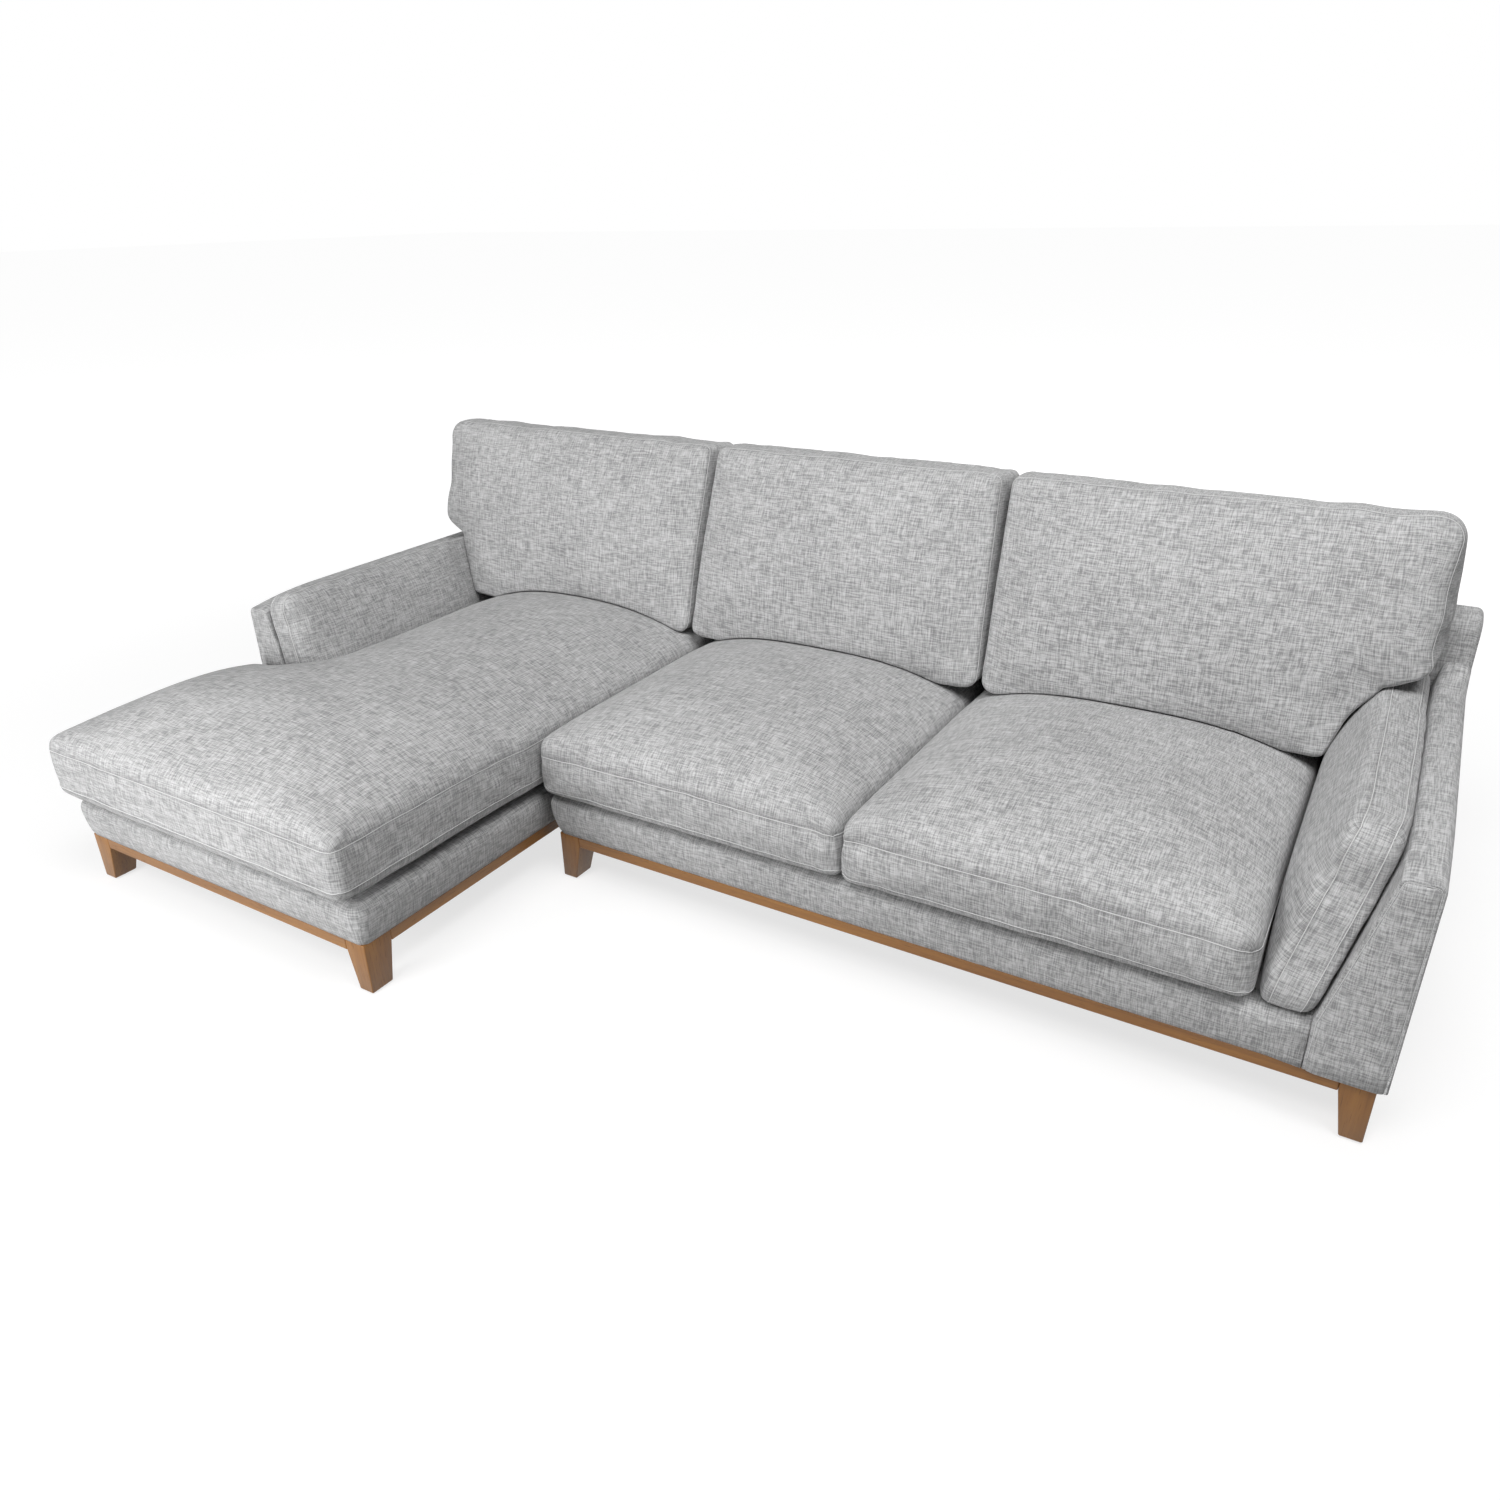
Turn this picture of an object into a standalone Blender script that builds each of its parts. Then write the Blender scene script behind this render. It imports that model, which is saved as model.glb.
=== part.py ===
"""Corner sofa: a chaise unit on the left, hooked to a two-seat unit on the right.

Metres. +X is the right side as seen from the front, -Y is the front and +Z is up. The origin is on
the floor, under the middle of the overall width and depth.
"""

import math

import bpy
import bmesh
from mathutils import Vector

# Clearances
gap = 0.0003            # between pieces that touch
soft_gap = 0.002        # between neighbouring cushions
overrun = 0.020         # how far a cutter runs past what it cuts

# Driving sizes of the two units
chaise_unit_width = 0.976
seat_unit_width = 1.774
seat_plinth_depth = 0.970
chaise_step = 0.555             # how far the chaise plinth stands in front of the two-seat plinth
chaise_cushion_overhang = 0.055  # the chaise cushion in front of its plinth
cover_overhang = 0.015          # the upholstery beyond the plinth
joint_setback = 0.0245          # each plinth back from the joint of the units

# Wooden plinth
plinth_top = 0.122
rail_height = 0.0275
rail_thickness = 0.025
leg_top_width = 0.055
leg_top_depth = 0.070
leg_foot_width = 0.038
leg_foot_depth = 0.055
wood_edge = 0.002

# Timber seat frame
frame_inset = 0.012             # the frame's outer faces behind the plinth's
frame_thickness = 0.025
frame_height = 0.076
middle_rail_drop = 0.020

# Webbing, deck and dust cover
strap_width = 0.060
strap_thickness = 0.002
strap_lap = 0.011               # a strap's end on the frame
chaise_long_straps = 3
chaise_cross_straps = 6
seat_long_straps = 8
seat_cross_straps = 3
dust_cover_thickness = 0.0015

# Padded base borders
border_height = 0.0972
border_lip = 0.045
border_foot = 0.004             # how far the border stands out at its foot
border_edge_radius = 0.025
joint_border_overhang = 0.0235

# Arms
arm_base_width = 0.132
arm_top_width = 0.062
arm_front_height = 0.525
arm_height = 0.543
arm_rise_length = 0.200         # from the front to where the top is level
arm_front_bulge = 0.008
arm_edge_radius = 0.016
arm_front_round = 0.012
arm_sweep_radius = 0.090        # the top's sweep up into the back
arm_board_thickness = 0.012
arm_board_top = 0.500
arm_board_setback = 0.030

# Backs
back_height = 0.668
back_foot_depth = 0.185
back_top_depth = 0.122
back_edge_radius = 0.030
back_end_round = 0.014
joint_end_round = 0.006
back_board_thickness = 0.012
back_board_top = 0.612
back_board_end = 0.030

# Connectors between the units
connector_length = 0.070
connector_leaf = 0.003
connector_height = 0.024
connector_reach = 0.035
connector_lip = 0.015
connector_top_drop = 0.002
connector_inset = 0.180         # from the two-seat plinth's front and rear faces

# Seat cushions
seat_cushion_front = 0.040      # the two seat cushions in front of their plinth
cushion_joint_offset = 0.007    # the chaise cushion's edge past the joint of the units
pad_room = 0.212                # from a plinth's outer side to the cushion beside the arm pad
chaise_cushion_side = 0.015     # the chaise cushion's outer edge in from the overall side
chaise_notch_gap = 0.012        # the notched edge in front of the arm pad
seat_lower_rise = 0.035          # the lower seam over the deck
chaise_lower_rise = 0.055
seat_seam_rise = 0.115
chaise_seam_rise = 0.140
seat_shoulder = 0.080           # from the edge to where the grid's lines are even
seat_crown = 0.125              # the top over its seam
seat_crown_reach = 0.270        # from the edge to the crown's full height
chaise_crown = 0.128
chaise_crown_reach = 0.290
seat_round_reach = 0.080        # from the edge to where the underside lies on the deck
chaise_round_reach = 0.100
seat_press = 0.010              # how far a back cushion presses the seat down
press_start = 0.240             # from the back's face to where the press begins
press_end = 0.160
seat_corner_radius = 0.034
seat_seam_draw = 0.002

# Arm pads
pad_height = 0.345
pad_front = 0.022
pad_front_slope = 0.075
pad_outer_seam = 0.022
pad_inner_seam = 0.074
pad_crown = 0.063
pad_shoulder = 0.060
pad_corner_radius = 0.045
pad_seam_draw = 0.002
left_pad_press = 0.036          # how far a back cushion presses each pad in
right_pad_press = 0.010
pad_settle = 0.008              # and the pads' tops down

# Back cushions
centre_cushion_width = 0.788
centre_cushion_flare = 0.015    # how far each of its sides spreads at the foot
centre_cushion_offset = 0.004   # from the joint of the units to the centre cushion
back_cushion_lift = 0.200       # from the deck to the cushion's foot, up the back's face
back_cushion_height = 0.466
left_foot_room = 0.184          # from the chaise plinth's outer side to the left cushion's foot
left_notch_room = 0.118         # and to the top of its notch
left_ear_room = 0.036           # and to the edge of its ear
right_foot_room = 0.204
right_notch_room = 0.148
right_ear_room = 0.054
notch_height = 0.145
ear_rise = 0.028                # how far an ear's underside rises to its edge
back_foot_boxing = 0.178
back_foot_droop = 0.030         # how far the foot's front edge hangs
back_droop_reach = 0.200        # from the foot to where it hangs no more
back_head_boxing = 0.100
back_rear_seam = 0.025
back_front_crown = 0.030
back_shoulder = 0.060
back_shoulder_rise = 0.022
back_cushion_corner = 0.036
back_seam_draw = 0.002
settle_gap = 0.014              # between a back cushion's foot and the seat under it

# Shares, counts and angles
close_line_shares = (0.12, 0.42, 1.0)    # grid lines across a shoulder
boxing_middle_share = 0.5
left_round_share = 0.0                   # how round each notched side is
right_round_share = 1.0
seat_dome_power = 2.3                    # a higher power gives a fuller dome
chaise_dome_power = 1.9
arm_front_shares = ((0, 1), (1 / 4, 1 / 3), (1, 0))   # setback and inset of the rounding's rings
arm_rise_shares = (0.25, 0.5, 1.0, 2.0)
arm_sweep_share = 0.8                    # of the sweep's quarter circle
back_end_shares = ((0, 1), (0.3, 0.3), (1, 0))
arc_steps = 4
border_rise_steps = 3
arm_sweep_steps = 4
seat_cells = 7                           # even grid cells across and along a cushion
chaise_cells = 8
chaise_front_cells = 4
chaise_rear_cells = 6
chaise_arm_cells = 1
pad_length_cells = 6
pad_height_cells = 3
back_width_cells = 9
back_height_cells = 4
low_cell_count = 2
ear_cell_count = 2
head_cell_count = 3
smooth_angle = 50                        # degrees; sharper edges are shaded flat

# Places worked out from the sizes above
overall_width = chaise_unit_width + seat_unit_width
overall_depth = chaise_cushion_overhang + chaise_step + seat_plinth_depth + cover_overhang
x_left = -overall_width / 2
x_right = overall_width / 2
x_joint = x_left + chaise_unit_width
y_rear = overall_depth / 2
plinth_rear = y_rear - cover_overhang
seat_front = plinth_rear - seat_plinth_depth
chaise_front = seat_front - chaise_step
seat_on_plinth = plinth_top + gap
frame_top = seat_on_plinth + frame_height
webbing_top = frame_top + gap + strap_thickness
deck_bottom = webbing_top + gap
deck_top = seat_on_plinth + border_height
cushion_floor = deck_top + gap
back_lean = (back_foot_depth - back_top_depth) / (back_height - deck_top)


class Unit:
    """One unit's plinth rectangle and the straps across its seat."""

    def __init__(self, name, left, right, front, long_straps, cross_straps):
        self.name = name
        self.left = left
        self.right = right
        self.front = front
        self.rear = plinth_rear
        self.long_straps = long_straps
        self.cross_straps = cross_straps


chaise = Unit("chaise", x_left + cover_overhang, x_joint - joint_setback, chaise_front,
              chaise_long_straps, chaise_cross_straps)
seat = Unit("seat", x_joint + joint_setback, x_right - cover_overhang, seat_front,
            seat_long_straps, seat_cross_straps)

FABRIC = ((0.52, 0.52, 0.53), 0.95, 0.0)
OAK = ((0.33, 0.19, 0.09), 0.45, 0.0)
PINE = ((0.66, 0.50, 0.32), 0.70, 0.0)
PLYWOOD = ((0.60, 0.44, 0.27), 0.65, 0.0)
WEBBING = ((0.10, 0.10, 0.11), 0.85, 0.0)
DUST_CLOTH = ((0.05, 0.05, 0.05), 0.95, 0.0)
STEEL = ((0.55, 0.55, 0.56), 0.35, 1.0)


def back_face(z):
    """The y of the back's leaning front face at the height z."""
    return y_rear - back_foot_depth + back_lean * (z - deck_top)


def finish(name, look):
    colour, roughness, metallic = look
    material = bpy.data.materials.new(name + "_finish")
    material.use_nodes = True
    shader = material.node_tree.nodes["Principled BSDF"]
    shader.inputs["Base Color"].default_value = (*colour, 1.0)
    shader.inputs["Roughness"].default_value = roughness
    shader.inputs["Metallic"].default_value = metallic
    return material


def new_piece(name, bm, look, smooth=False):
    bmesh.ops.recalc_face_normals(bm, faces=bm.faces)
    mesh = bpy.data.meshes.new(name)
    bm.to_mesh(mesh)
    bm.free()
    if smooth:
        mesh.shade_smooth()
        mesh.set_sharp_from_angle(angle=math.radians(smooth_angle))
    piece = bpy.data.objects.new(name, mesh)
    mesh.materials.append(finish(name, look))
    bpy.context.collection.objects.link(piece)
    return piece


def loft(name, rings, look, smooth=False, rounding=0):
    """A closed skin over rings of points, with a flat cap on the first and the last."""
    bm = bmesh.new()
    loops = [[bm.verts.new(point) for point in ring] for ring in rings]
    for near, far in zip(loops, loops[1:]):
        for k in range(len(near)):
            following = (k + 1) % len(near)
            bm.faces.new((near[k], near[following], far[following], far[k]))
    bm.faces.new(loops[0])
    bm.faces.new(loops[-1])
    if rounding:
        bmesh.ops.bevel(bm, geom=bm.edges[:], offset=rounding, segments=1, affect="EDGES")
    return new_piece(name, bm, look, smooth)


def rectangle(x0, x1, y0, y1, z):
    return [Vector((x0, y0, z)), Vector((x1, y0, z)), Vector((x1, y1, z)), Vector((x0, y1, z))]


def block(name, x0, x1, y0, y1, z0, z1, look, rounding=0):
    rings = [rectangle(x0, x1, y0, y1, z0), rectangle(x0, x1, y0, y1, z1)]
    return loft(name, rings, look, rounding=rounding)


def slab(name, outline, z0, z1, look):
    """A flat piece with an outline of (x, y) points."""
    return loft(name, [[Vector((x, y, z)) for x, y in outline] for z in (z0, z1)], look)


def arc(centre_a, centre_b, radius, start, end, steps=arc_steps):
    """Points of an arc about a centre, between two angles in degrees."""
    points = []
    for k in range(steps + 1):
        angle = math.radians(start + (end - start) * k / steps)
        points.append((centre_a + radius * math.cos(angle), centre_b + radius * math.sin(angle)))
    return points


def cut(piece, cutter):
    """Cut one piece by a hidden block."""
    cutter.display_type = "WIRE"
    cutter.hide_render = True
    modifier = piece.modifiers.new("cut", "BOOLEAN")
    modifier.operation = "DIFFERENCE"
    modifier.object = cutter


def make_legs(unit):
    """Tapered corner legs: square through the rail's height, drawn in below it."""
    rail_bottom = plinth_top - rail_height
    for side, corner_x, inward_x in (("left", unit.left, 1), ("right", unit.right, -1)):
        for end, corner_y, inward_y in (("front", unit.front, 1), ("rear", unit.rear, -1)):
            rings = []
            for z, width, depth in ((0, leg_foot_width, leg_foot_depth),
                                    (rail_bottom, leg_top_width, leg_top_depth),
                                    (plinth_top, leg_top_width, leg_top_depth)):
                inner_x = corner_x + inward_x * width
                inner_y = corner_y + inward_y * depth
                rings.append(rectangle(corner_x, inner_x, corner_y, inner_y, z))
            loft(f"{unit.name}_leg_{end}_{side}", rings, OAK, rounding=wood_edge)


def make_plinth_rails(unit):
    bottom = plinth_top - rail_height
    between_x = (unit.left + leg_top_width + gap, unit.right - leg_top_width - gap)
    between_y = (unit.front + leg_top_depth + gap, unit.rear - leg_top_depth - gap)
    front_y = (unit.front, unit.front + rail_thickness)
    rear_y = (unit.rear - rail_thickness, unit.rear)
    left_x = (unit.left, unit.left + rail_thickness)
    right_x = (unit.right - rail_thickness, unit.right)
    for side, spans in (("front", (*between_x, *front_y)), ("rear", (*between_x, *rear_y)),
                        ("left", (*left_x, *between_y)), ("right", (*right_x, *between_y))):
        block(f"{unit.name}_plinth_{side}", *spans, bottom, plinth_top, OAK, wood_edge)


def frame_span(unit):
    """The outer faces of a unit's timber frame: left, right, front and rear."""
    return (unit.left + frame_inset, unit.right - frame_inset,
            unit.front + frame_inset, unit.rear - frame_inset)


def make_frame(unit):
    """Front and rear rails run the full width; side and middle rails butt between them."""
    left, right, front, rear = frame_span(unit)
    inner_left = left + frame_thickness
    inner_right = right - frame_thickness
    inner_front = front + frame_thickness + gap
    inner_rear = rear - frame_thickness - gap
    for side, spans in (("front", (left, right, front, front + frame_thickness)),
                        ("rear", (left, right, rear - frame_thickness, rear)),
                        ("left", (left, inner_left, inner_front, inner_rear)),
                        ("right", (inner_right, right, inner_front, inner_rear))):
        block(f"{unit.name}_frame_{side}", *spans, seat_on_plinth, frame_top, PINE)
    middle_top = frame_top - middle_rail_drop
    if unit is chaise:
        middle = (inner_front + inner_rear) / 2
        spans = (inner_left + gap, inner_right - gap,
                 middle - frame_thickness / 2, middle + frame_thickness / 2)
    else:
        middle = (left + right) / 2
        spans = (middle - frame_thickness / 2, middle + frame_thickness / 2, inner_front, inner_rear)
    block(f"{unit.name}_frame_middle", *spans, seat_on_plinth, middle_top, PINE)


def strap_lines(low, high, count):
    """The edges of evenly spaced straps across a span, with the span's own ends."""
    pitch = (high - low) / count
    lines = [low]
    for k in range(count):
        centre = low + pitch * k + pitch / 2
        lines += [centre - strap_width / 2, centre + strap_width / 2]
    return lines + [high]


def make_webbing(unit):
    """Straps both ways in one flat net, lapped on the frame rails."""
    left, right, front, rear = frame_span(unit)
    margin = frame_thickness - strap_lap
    columns = strap_lines(left + margin, right - margin, unit.long_straps)
    rows = strap_lines(front + margin, rear - margin, unit.cross_straps)
    bm = bmesh.new()
    corners = {}

    def corner(i, j):
        if (i, j) not in corners:
            corners[i, j] = bm.verts.new((columns[i], rows[j], frame_top + gap))
        return corners[i, j]

    for i in range(len(columns) - 1):
        for j in range(len(rows) - 1):
            if i % 2 == 1 or j % 2 == 1:
                bm.faces.new((corner(i, j), corner(i + 1, j), corner(i + 1, j + 1), corner(i, j + 1)))
    raised = bmesh.ops.extrude_face_region(bm, geom=bm.faces[:])
    raised_points = [item for item in raised["geom"] if isinstance(item, bmesh.types.BMVert)]
    bmesh.ops.translate(bm, verts=raised_points, vec=(0, 0, strap_thickness))
    new_piece(f"{unit.name}_webbing", bm, WEBBING)


def make_dust_cover(unit):
    """A cloth panel under the frame, notched round the four legs."""
    left = unit.left + rail_thickness + gap
    right = unit.right - rail_thickness - gap
    front = unit.front + rail_thickness + gap
    rear = unit.rear - rail_thickness - gap
    leg_left = unit.left + leg_top_width + gap
    leg_right = unit.right - leg_top_width - gap
    leg_front = unit.front + leg_top_depth + gap
    leg_rear = unit.rear - leg_top_depth - gap
    outline = [(leg_left, front), (leg_right, front), (leg_right, leg_front), (right, leg_front),
               (right, leg_rear), (leg_right, leg_rear), (leg_right, rear), (leg_left, rear),
               (leg_left, leg_rear), (left, leg_rear), (left, leg_front), (leg_left, leg_front)]
    slab(f"{unit.name}_dust_cover", outline, plinth_top - dust_cover_thickness, plinth_top,
         DUST_CLOTH)


def border_profile(overhang):
    """A border's section as (outward, z) points, with a lip lapped over the frame."""
    arc_foot = deck_top - border_edge_radius
    inner = -frame_inset + gap
    section = [(inner, seat_on_plinth)]
    for k in range(border_rise_steps + 1):
        share = k / border_rise_steps
        out = border_foot + (overhang - border_foot) * math.sin(share * math.pi / 2)
        section.append((out, seat_on_plinth + (arc_foot - seat_on_plinth) * share))
    section += arc(overhang - border_edge_radius, arc_foot, border_edge_radius, 0, 90)[1:]
    section += [(-border_lip, deck_top), (-border_lip, deck_bottom), (inner, deck_bottom)]
    return section


def make_borders():
    """Mitred borders round the chaise and along the front and the joint side of the two-seat unit."""
    stop_rear = back_face(seat_on_plinth) - gap
    stop_arm = seat_front - arm_front_bulge - gap
    chaise_section = border_profile(cover_overhang)
    joint_section = border_profile(joint_border_overhang)
    front_rings = [[Vector((chaise.left - out + gap, chaise.front - out, z))
                    for out, z in chaise_section],
                   [Vector((chaise.right + out - gap, chaise.front - out, z))
                    for out, z in chaise_section]]
    loft("chaise_border_front", front_rings, FABRIC, smooth=True)
    for side, plinth_side, sign, stop in (("left", chaise.left, -1, stop_arm),
                                          ("right", chaise.right, 1, stop_rear)):
        rings = [[Vector((plinth_side + sign * out, chaise.front - out + gap, z))
                  for out, z in chaise_section],
                 [Vector((plinth_side + sign * out, stop, z)) for out, z in chaise_section]]
        loft(f"chaise_border_{side}", rings, FABRIC, smooth=True)
    arm_side = x_right - arm_base_width - gap
    corner_outs = [out for out, z in joint_section]
    rings = [[Vector((seat.left - corner + gap, seat.front - out, z))
              for corner, (out, z) in zip(corner_outs, chaise_section)],
             [Vector((arm_side, seat.front - out, z)) for out, z in chaise_section]]
    loft("seat_border_front", rings, FABRIC, smooth=True)
    rings = [[Vector((seat.left - corner, seat.front - out + gap, z))
              for corner, (out, z) in zip(corner_outs, chaise_section)],
             [Vector((seat.left - corner, stop_rear, z))
              for corner, (out, z) in zip(corner_outs, chaise_section)]]
    loft("seat_border_left", rings, FABRIC, smooth=True)


def make_decks():
    """Padded decks between the borders, the arms and the backs."""
    rear = back_face(deck_bottom) - gap
    room = border_lip + gap
    arm_inner = x_left + arm_base_width + gap
    arm_front = seat_front - arm_front_bulge - gap
    outline = [(chaise.left + room, chaise.front + room), (chaise.right - room, chaise.front + room),
               (chaise.right - room, rear), (arm_inner, rear), (arm_inner, arm_front),
               (chaise.left + room, arm_front)]
    slab("chaise_deck", outline, deck_bottom, deck_top, FABRIC)
    block("seat_deck", seat.left + room, x_right - arm_base_width - gap, seat.front + room, rear,
          deck_bottom, deck_top, FABRIC)


def arm_profile(inset, top):
    """An arm's section as (inward from the overall side, z) points."""
    radius = arm_edge_radius
    slope = (arm_base_width - arm_top_width) / (arm_front_height - deck_top)
    lean = math.atan(slope)
    top = top - inset
    inner_top = arm_base_width - slope * (top - deck_top) - inset / math.cos(lean)
    inner_foot = arm_base_width - inset / math.cos(lean)
    reach = radius * math.tan((math.pi / 2 - lean) / 2)
    section = [(inset, seat_on_plinth)]
    section += arc(inset + radius, top - radius, radius, 180, 90)
    section += arc(inner_top - reach, top - radius, radius, 90, math.degrees(lean))
    section += [(inner_foot, deck_top), (inner_foot, seat_on_plinth)]
    return section


def arm_top(y):
    """The arm top's height at y: rising from the front, then level."""
    share = min(1, max(0, (y - seat_front) / arm_rise_length))
    return arm_front_height + (arm_height - arm_front_height) * (1 - (1 - share) ** 2)


def make_arm(side):
    """An arm cover, hollow below for the frame and slotted for its board, and that board."""
    unit, edge, inward = (chaise, x_left, 1) if side == "left" else (seat, x_right, -1)
    front = seat_front - arm_front_bulge
    rings = []
    for setback_share, inset_share in arm_front_shares:
        y = front + arm_front_round * setback_share
        rings.append((y, 0, arm_front_round * inset_share, arm_top(y)))
    for share in arm_rise_shares:
        y = seat_front + arm_rise_length * share
        rings.append((y, 0, 0, arm_top(y)))
    sweep_run = arm_sweep_share * arm_sweep_radius
    for k in range(arm_sweep_steps):
        sink = sweep_run * k / (arm_sweep_steps - 1)
        rise = arm_sweep_radius - math.sqrt(arm_sweep_radius ** 2 - sink ** 2)
        y = back_face(deck_top) - gap - sweep_run + sink
        rings.append((y, back_lean, 0, arm_height + rise))
    loops = []
    for y, lean, inset, top in rings:
        loops.append([Vector((edge + inward * a, y + lean * (z - deck_top), z))
                      for a, z in arm_profile(inset, top)])
    cover = loft(f"{unit.name}_arm_cover", loops, FABRIC, smooth=True)

    frame_face = edge + inward * (cover_overhang + frame_inset - gap)
    past_inner = edge + inward * (arm_base_width + overrun)
    pocket_front = front - overrun if side == "left" else seat_front + frame_inset - gap
    pocket_spans = (*sorted((frame_face, past_inner)), pocket_front, y_rear)
    cut(cover, block(f"{unit.name}_arm_pocket", *pocket_spans, 0, deck_bottom, FABRIC))
    board_outer = frame_face + inward * gap
    board_inner = board_outer + inward * arm_board_thickness
    slot_spans = (*sorted((frame_face, board_inner + inward * gap)),
                  front + arm_board_setback - gap, y_rear)
    cut(cover, block(f"{unit.name}_arm_slot", *slot_spans, 0, arm_board_top + gap, FABRIC))
    board_rear = back_face(deck_top) - arm_board_thickness
    block(f"{unit.name}_arm_board", *sorted((board_outer, board_inner)),
          front + arm_board_setback, board_rear, frame_top + gap, arm_board_top, PLYWOOD)


def back_profile(inset):
    """A back's section as (y, z) points, from the front foot over the top to the rear foot."""
    radius = back_edge_radius
    top = back_height - inset
    lean = math.degrees(math.atan(back_lean))
    arc_z = top - radius
    centre_y = back_face(arc_z) + inset + radius / math.cos(math.radians(lean))
    section = [(back_face(seat_on_plinth) + inset, seat_on_plinth)]
    section += arc(centre_y, arc_z, radius, 180 - lean, 90)
    section += arc(y_rear - inset - radius, arc_z, radius, 90, 0)
    section.append((y_rear - inset, seat_on_plinth))
    return section


def make_back(unit):
    """A back cover, hollow below for the frame and slotted for its board, and that board."""
    left, right, _, frame_rear = frame_span(unit)
    if unit is chaise:
        low, low_round = x_left, back_end_round
        high, high_round = x_joint - gap / 2, joint_end_round
    else:
        low, low_round = x_joint + gap / 2, joint_end_round
        high, high_round = x_right, back_end_round
    rings = []
    for setback_share, inset_share in back_end_shares:
        rings.append((low + low_round * setback_share, low_round * inset_share))
    for setback_share, inset_share in reversed(back_end_shares):
        rings.append((high - high_round * setback_share, high_round * inset_share))
    loops = [[Vector((x, y, z)) for y, z in back_profile(inset)] for x, inset in rings]
    cover = loft(f"{unit.name}_back_cover", loops, FABRIC, smooth=True)
    frame_face = frame_rear + gap
    cut(cover, block(f"{unit.name}_back_pocket", left - gap, right + gap,
                     back_face(deck_top) - overrun, frame_face, 0, deck_bottom, FABRIC))
    board_front = frame_rear - back_board_thickness
    board_left = left + back_board_end
    board_right = right - back_board_end
    cut(cover, block(f"{unit.name}_back_slot", board_left - gap, board_right + gap,
                     board_front - gap, frame_face, 0, back_board_top + gap, FABRIC))
    block(f"{unit.name}_back_board", board_left, board_right, board_front, frame_rear,
          frame_top + gap, back_board_top, PLYWOOD)


def make_connectors():
    """Two pairs of hooks in the gap between the plinths, each pair interlocked."""
    top = plinth_top - connector_top_drop
    foot = top - connector_height
    leaf = connector_leaf
    chaise_face = chaise.right + gap
    seat_face = seat.left - gap
    tongue_end = chaise_face + connector_reach
    shelf_end = seat_face - connector_reach
    hook = [(chaise_face, foot), (chaise_face + leaf, foot), (chaise_face + leaf, top - leaf),
            (tongue_end - leaf, top - leaf), (tongue_end - leaf, top - connector_lip),
            (tongue_end, top - connector_lip), (tongue_end, top), (chaise_face, top)]
    catch = [(seat_face, top), (seat_face - leaf, top), (seat_face - leaf, foot + leaf),
             (shelf_end + leaf, foot + leaf), (shelf_end + leaf, foot + connector_lip),
             (shelf_end, foot + connector_lip), (shelf_end, foot), (seat_face, foot)]
    for place, y in (("front", seat_front + connector_inset), ("rear", plinth_rear - connector_inset)):
        for owner, section in (("chaise_hook", hook), ("seat_catch", catch)):
            rings = [[Vector((x, end, z)) for x, z in section]
                     for end in (y - connector_length / 2, y + connector_length / 2)]
            loft(f"{owner}_{place}", rings, STEEL)


def span_lines(low, high, near_low, near_high, count):
    """Grid lines over a span, close together near its crowned ends and even between."""
    start = low + (near_low[-1] if near_low else 0)
    end = high - (near_high[-1] if near_high else 0)
    lines = [low] + [low + step for step in near_low[:-1]]
    for k in range(count + 1):
        line = start + (end - start) * k / count
        if line > lines[-1] + gap:
            lines.append(line)
    for step in reversed(near_high[:-1]):
        lines.append(high - step)
    if near_high:
        lines.append(high)
    return lines


def close_lines(shoulder):
    return [share * shoulder for share in close_line_shares]


def quarter(share):
    """A quarter circle's rise, from 0 at the edge to 1."""
    share = min(1, max(0, share))
    return math.sqrt(1 - (1 - share) ** 2)


def ease(share):
    share = min(1, max(0, share))
    return share * share * (3 - 2 * share)


def dome(share, power):
    """A rounded rise from 0 at the edge to 1, fuller than a quarter circle past a power of 2."""
    share = min(1, max(0, share))
    return (1 - (1 - share) ** power) ** (1 / power)


def distance_to(loop, point):
    """The least distance from a point to a closed loop of points."""
    least = math.inf
    for start, end in zip(loop, loop[1:] + loop[:1]):
        edge = end - start
        along = min(1, max(0, (point - start).dot(edge) / edge.length_squared))
        least = min(least, (point - start - edge * along).length)
    return least


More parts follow.
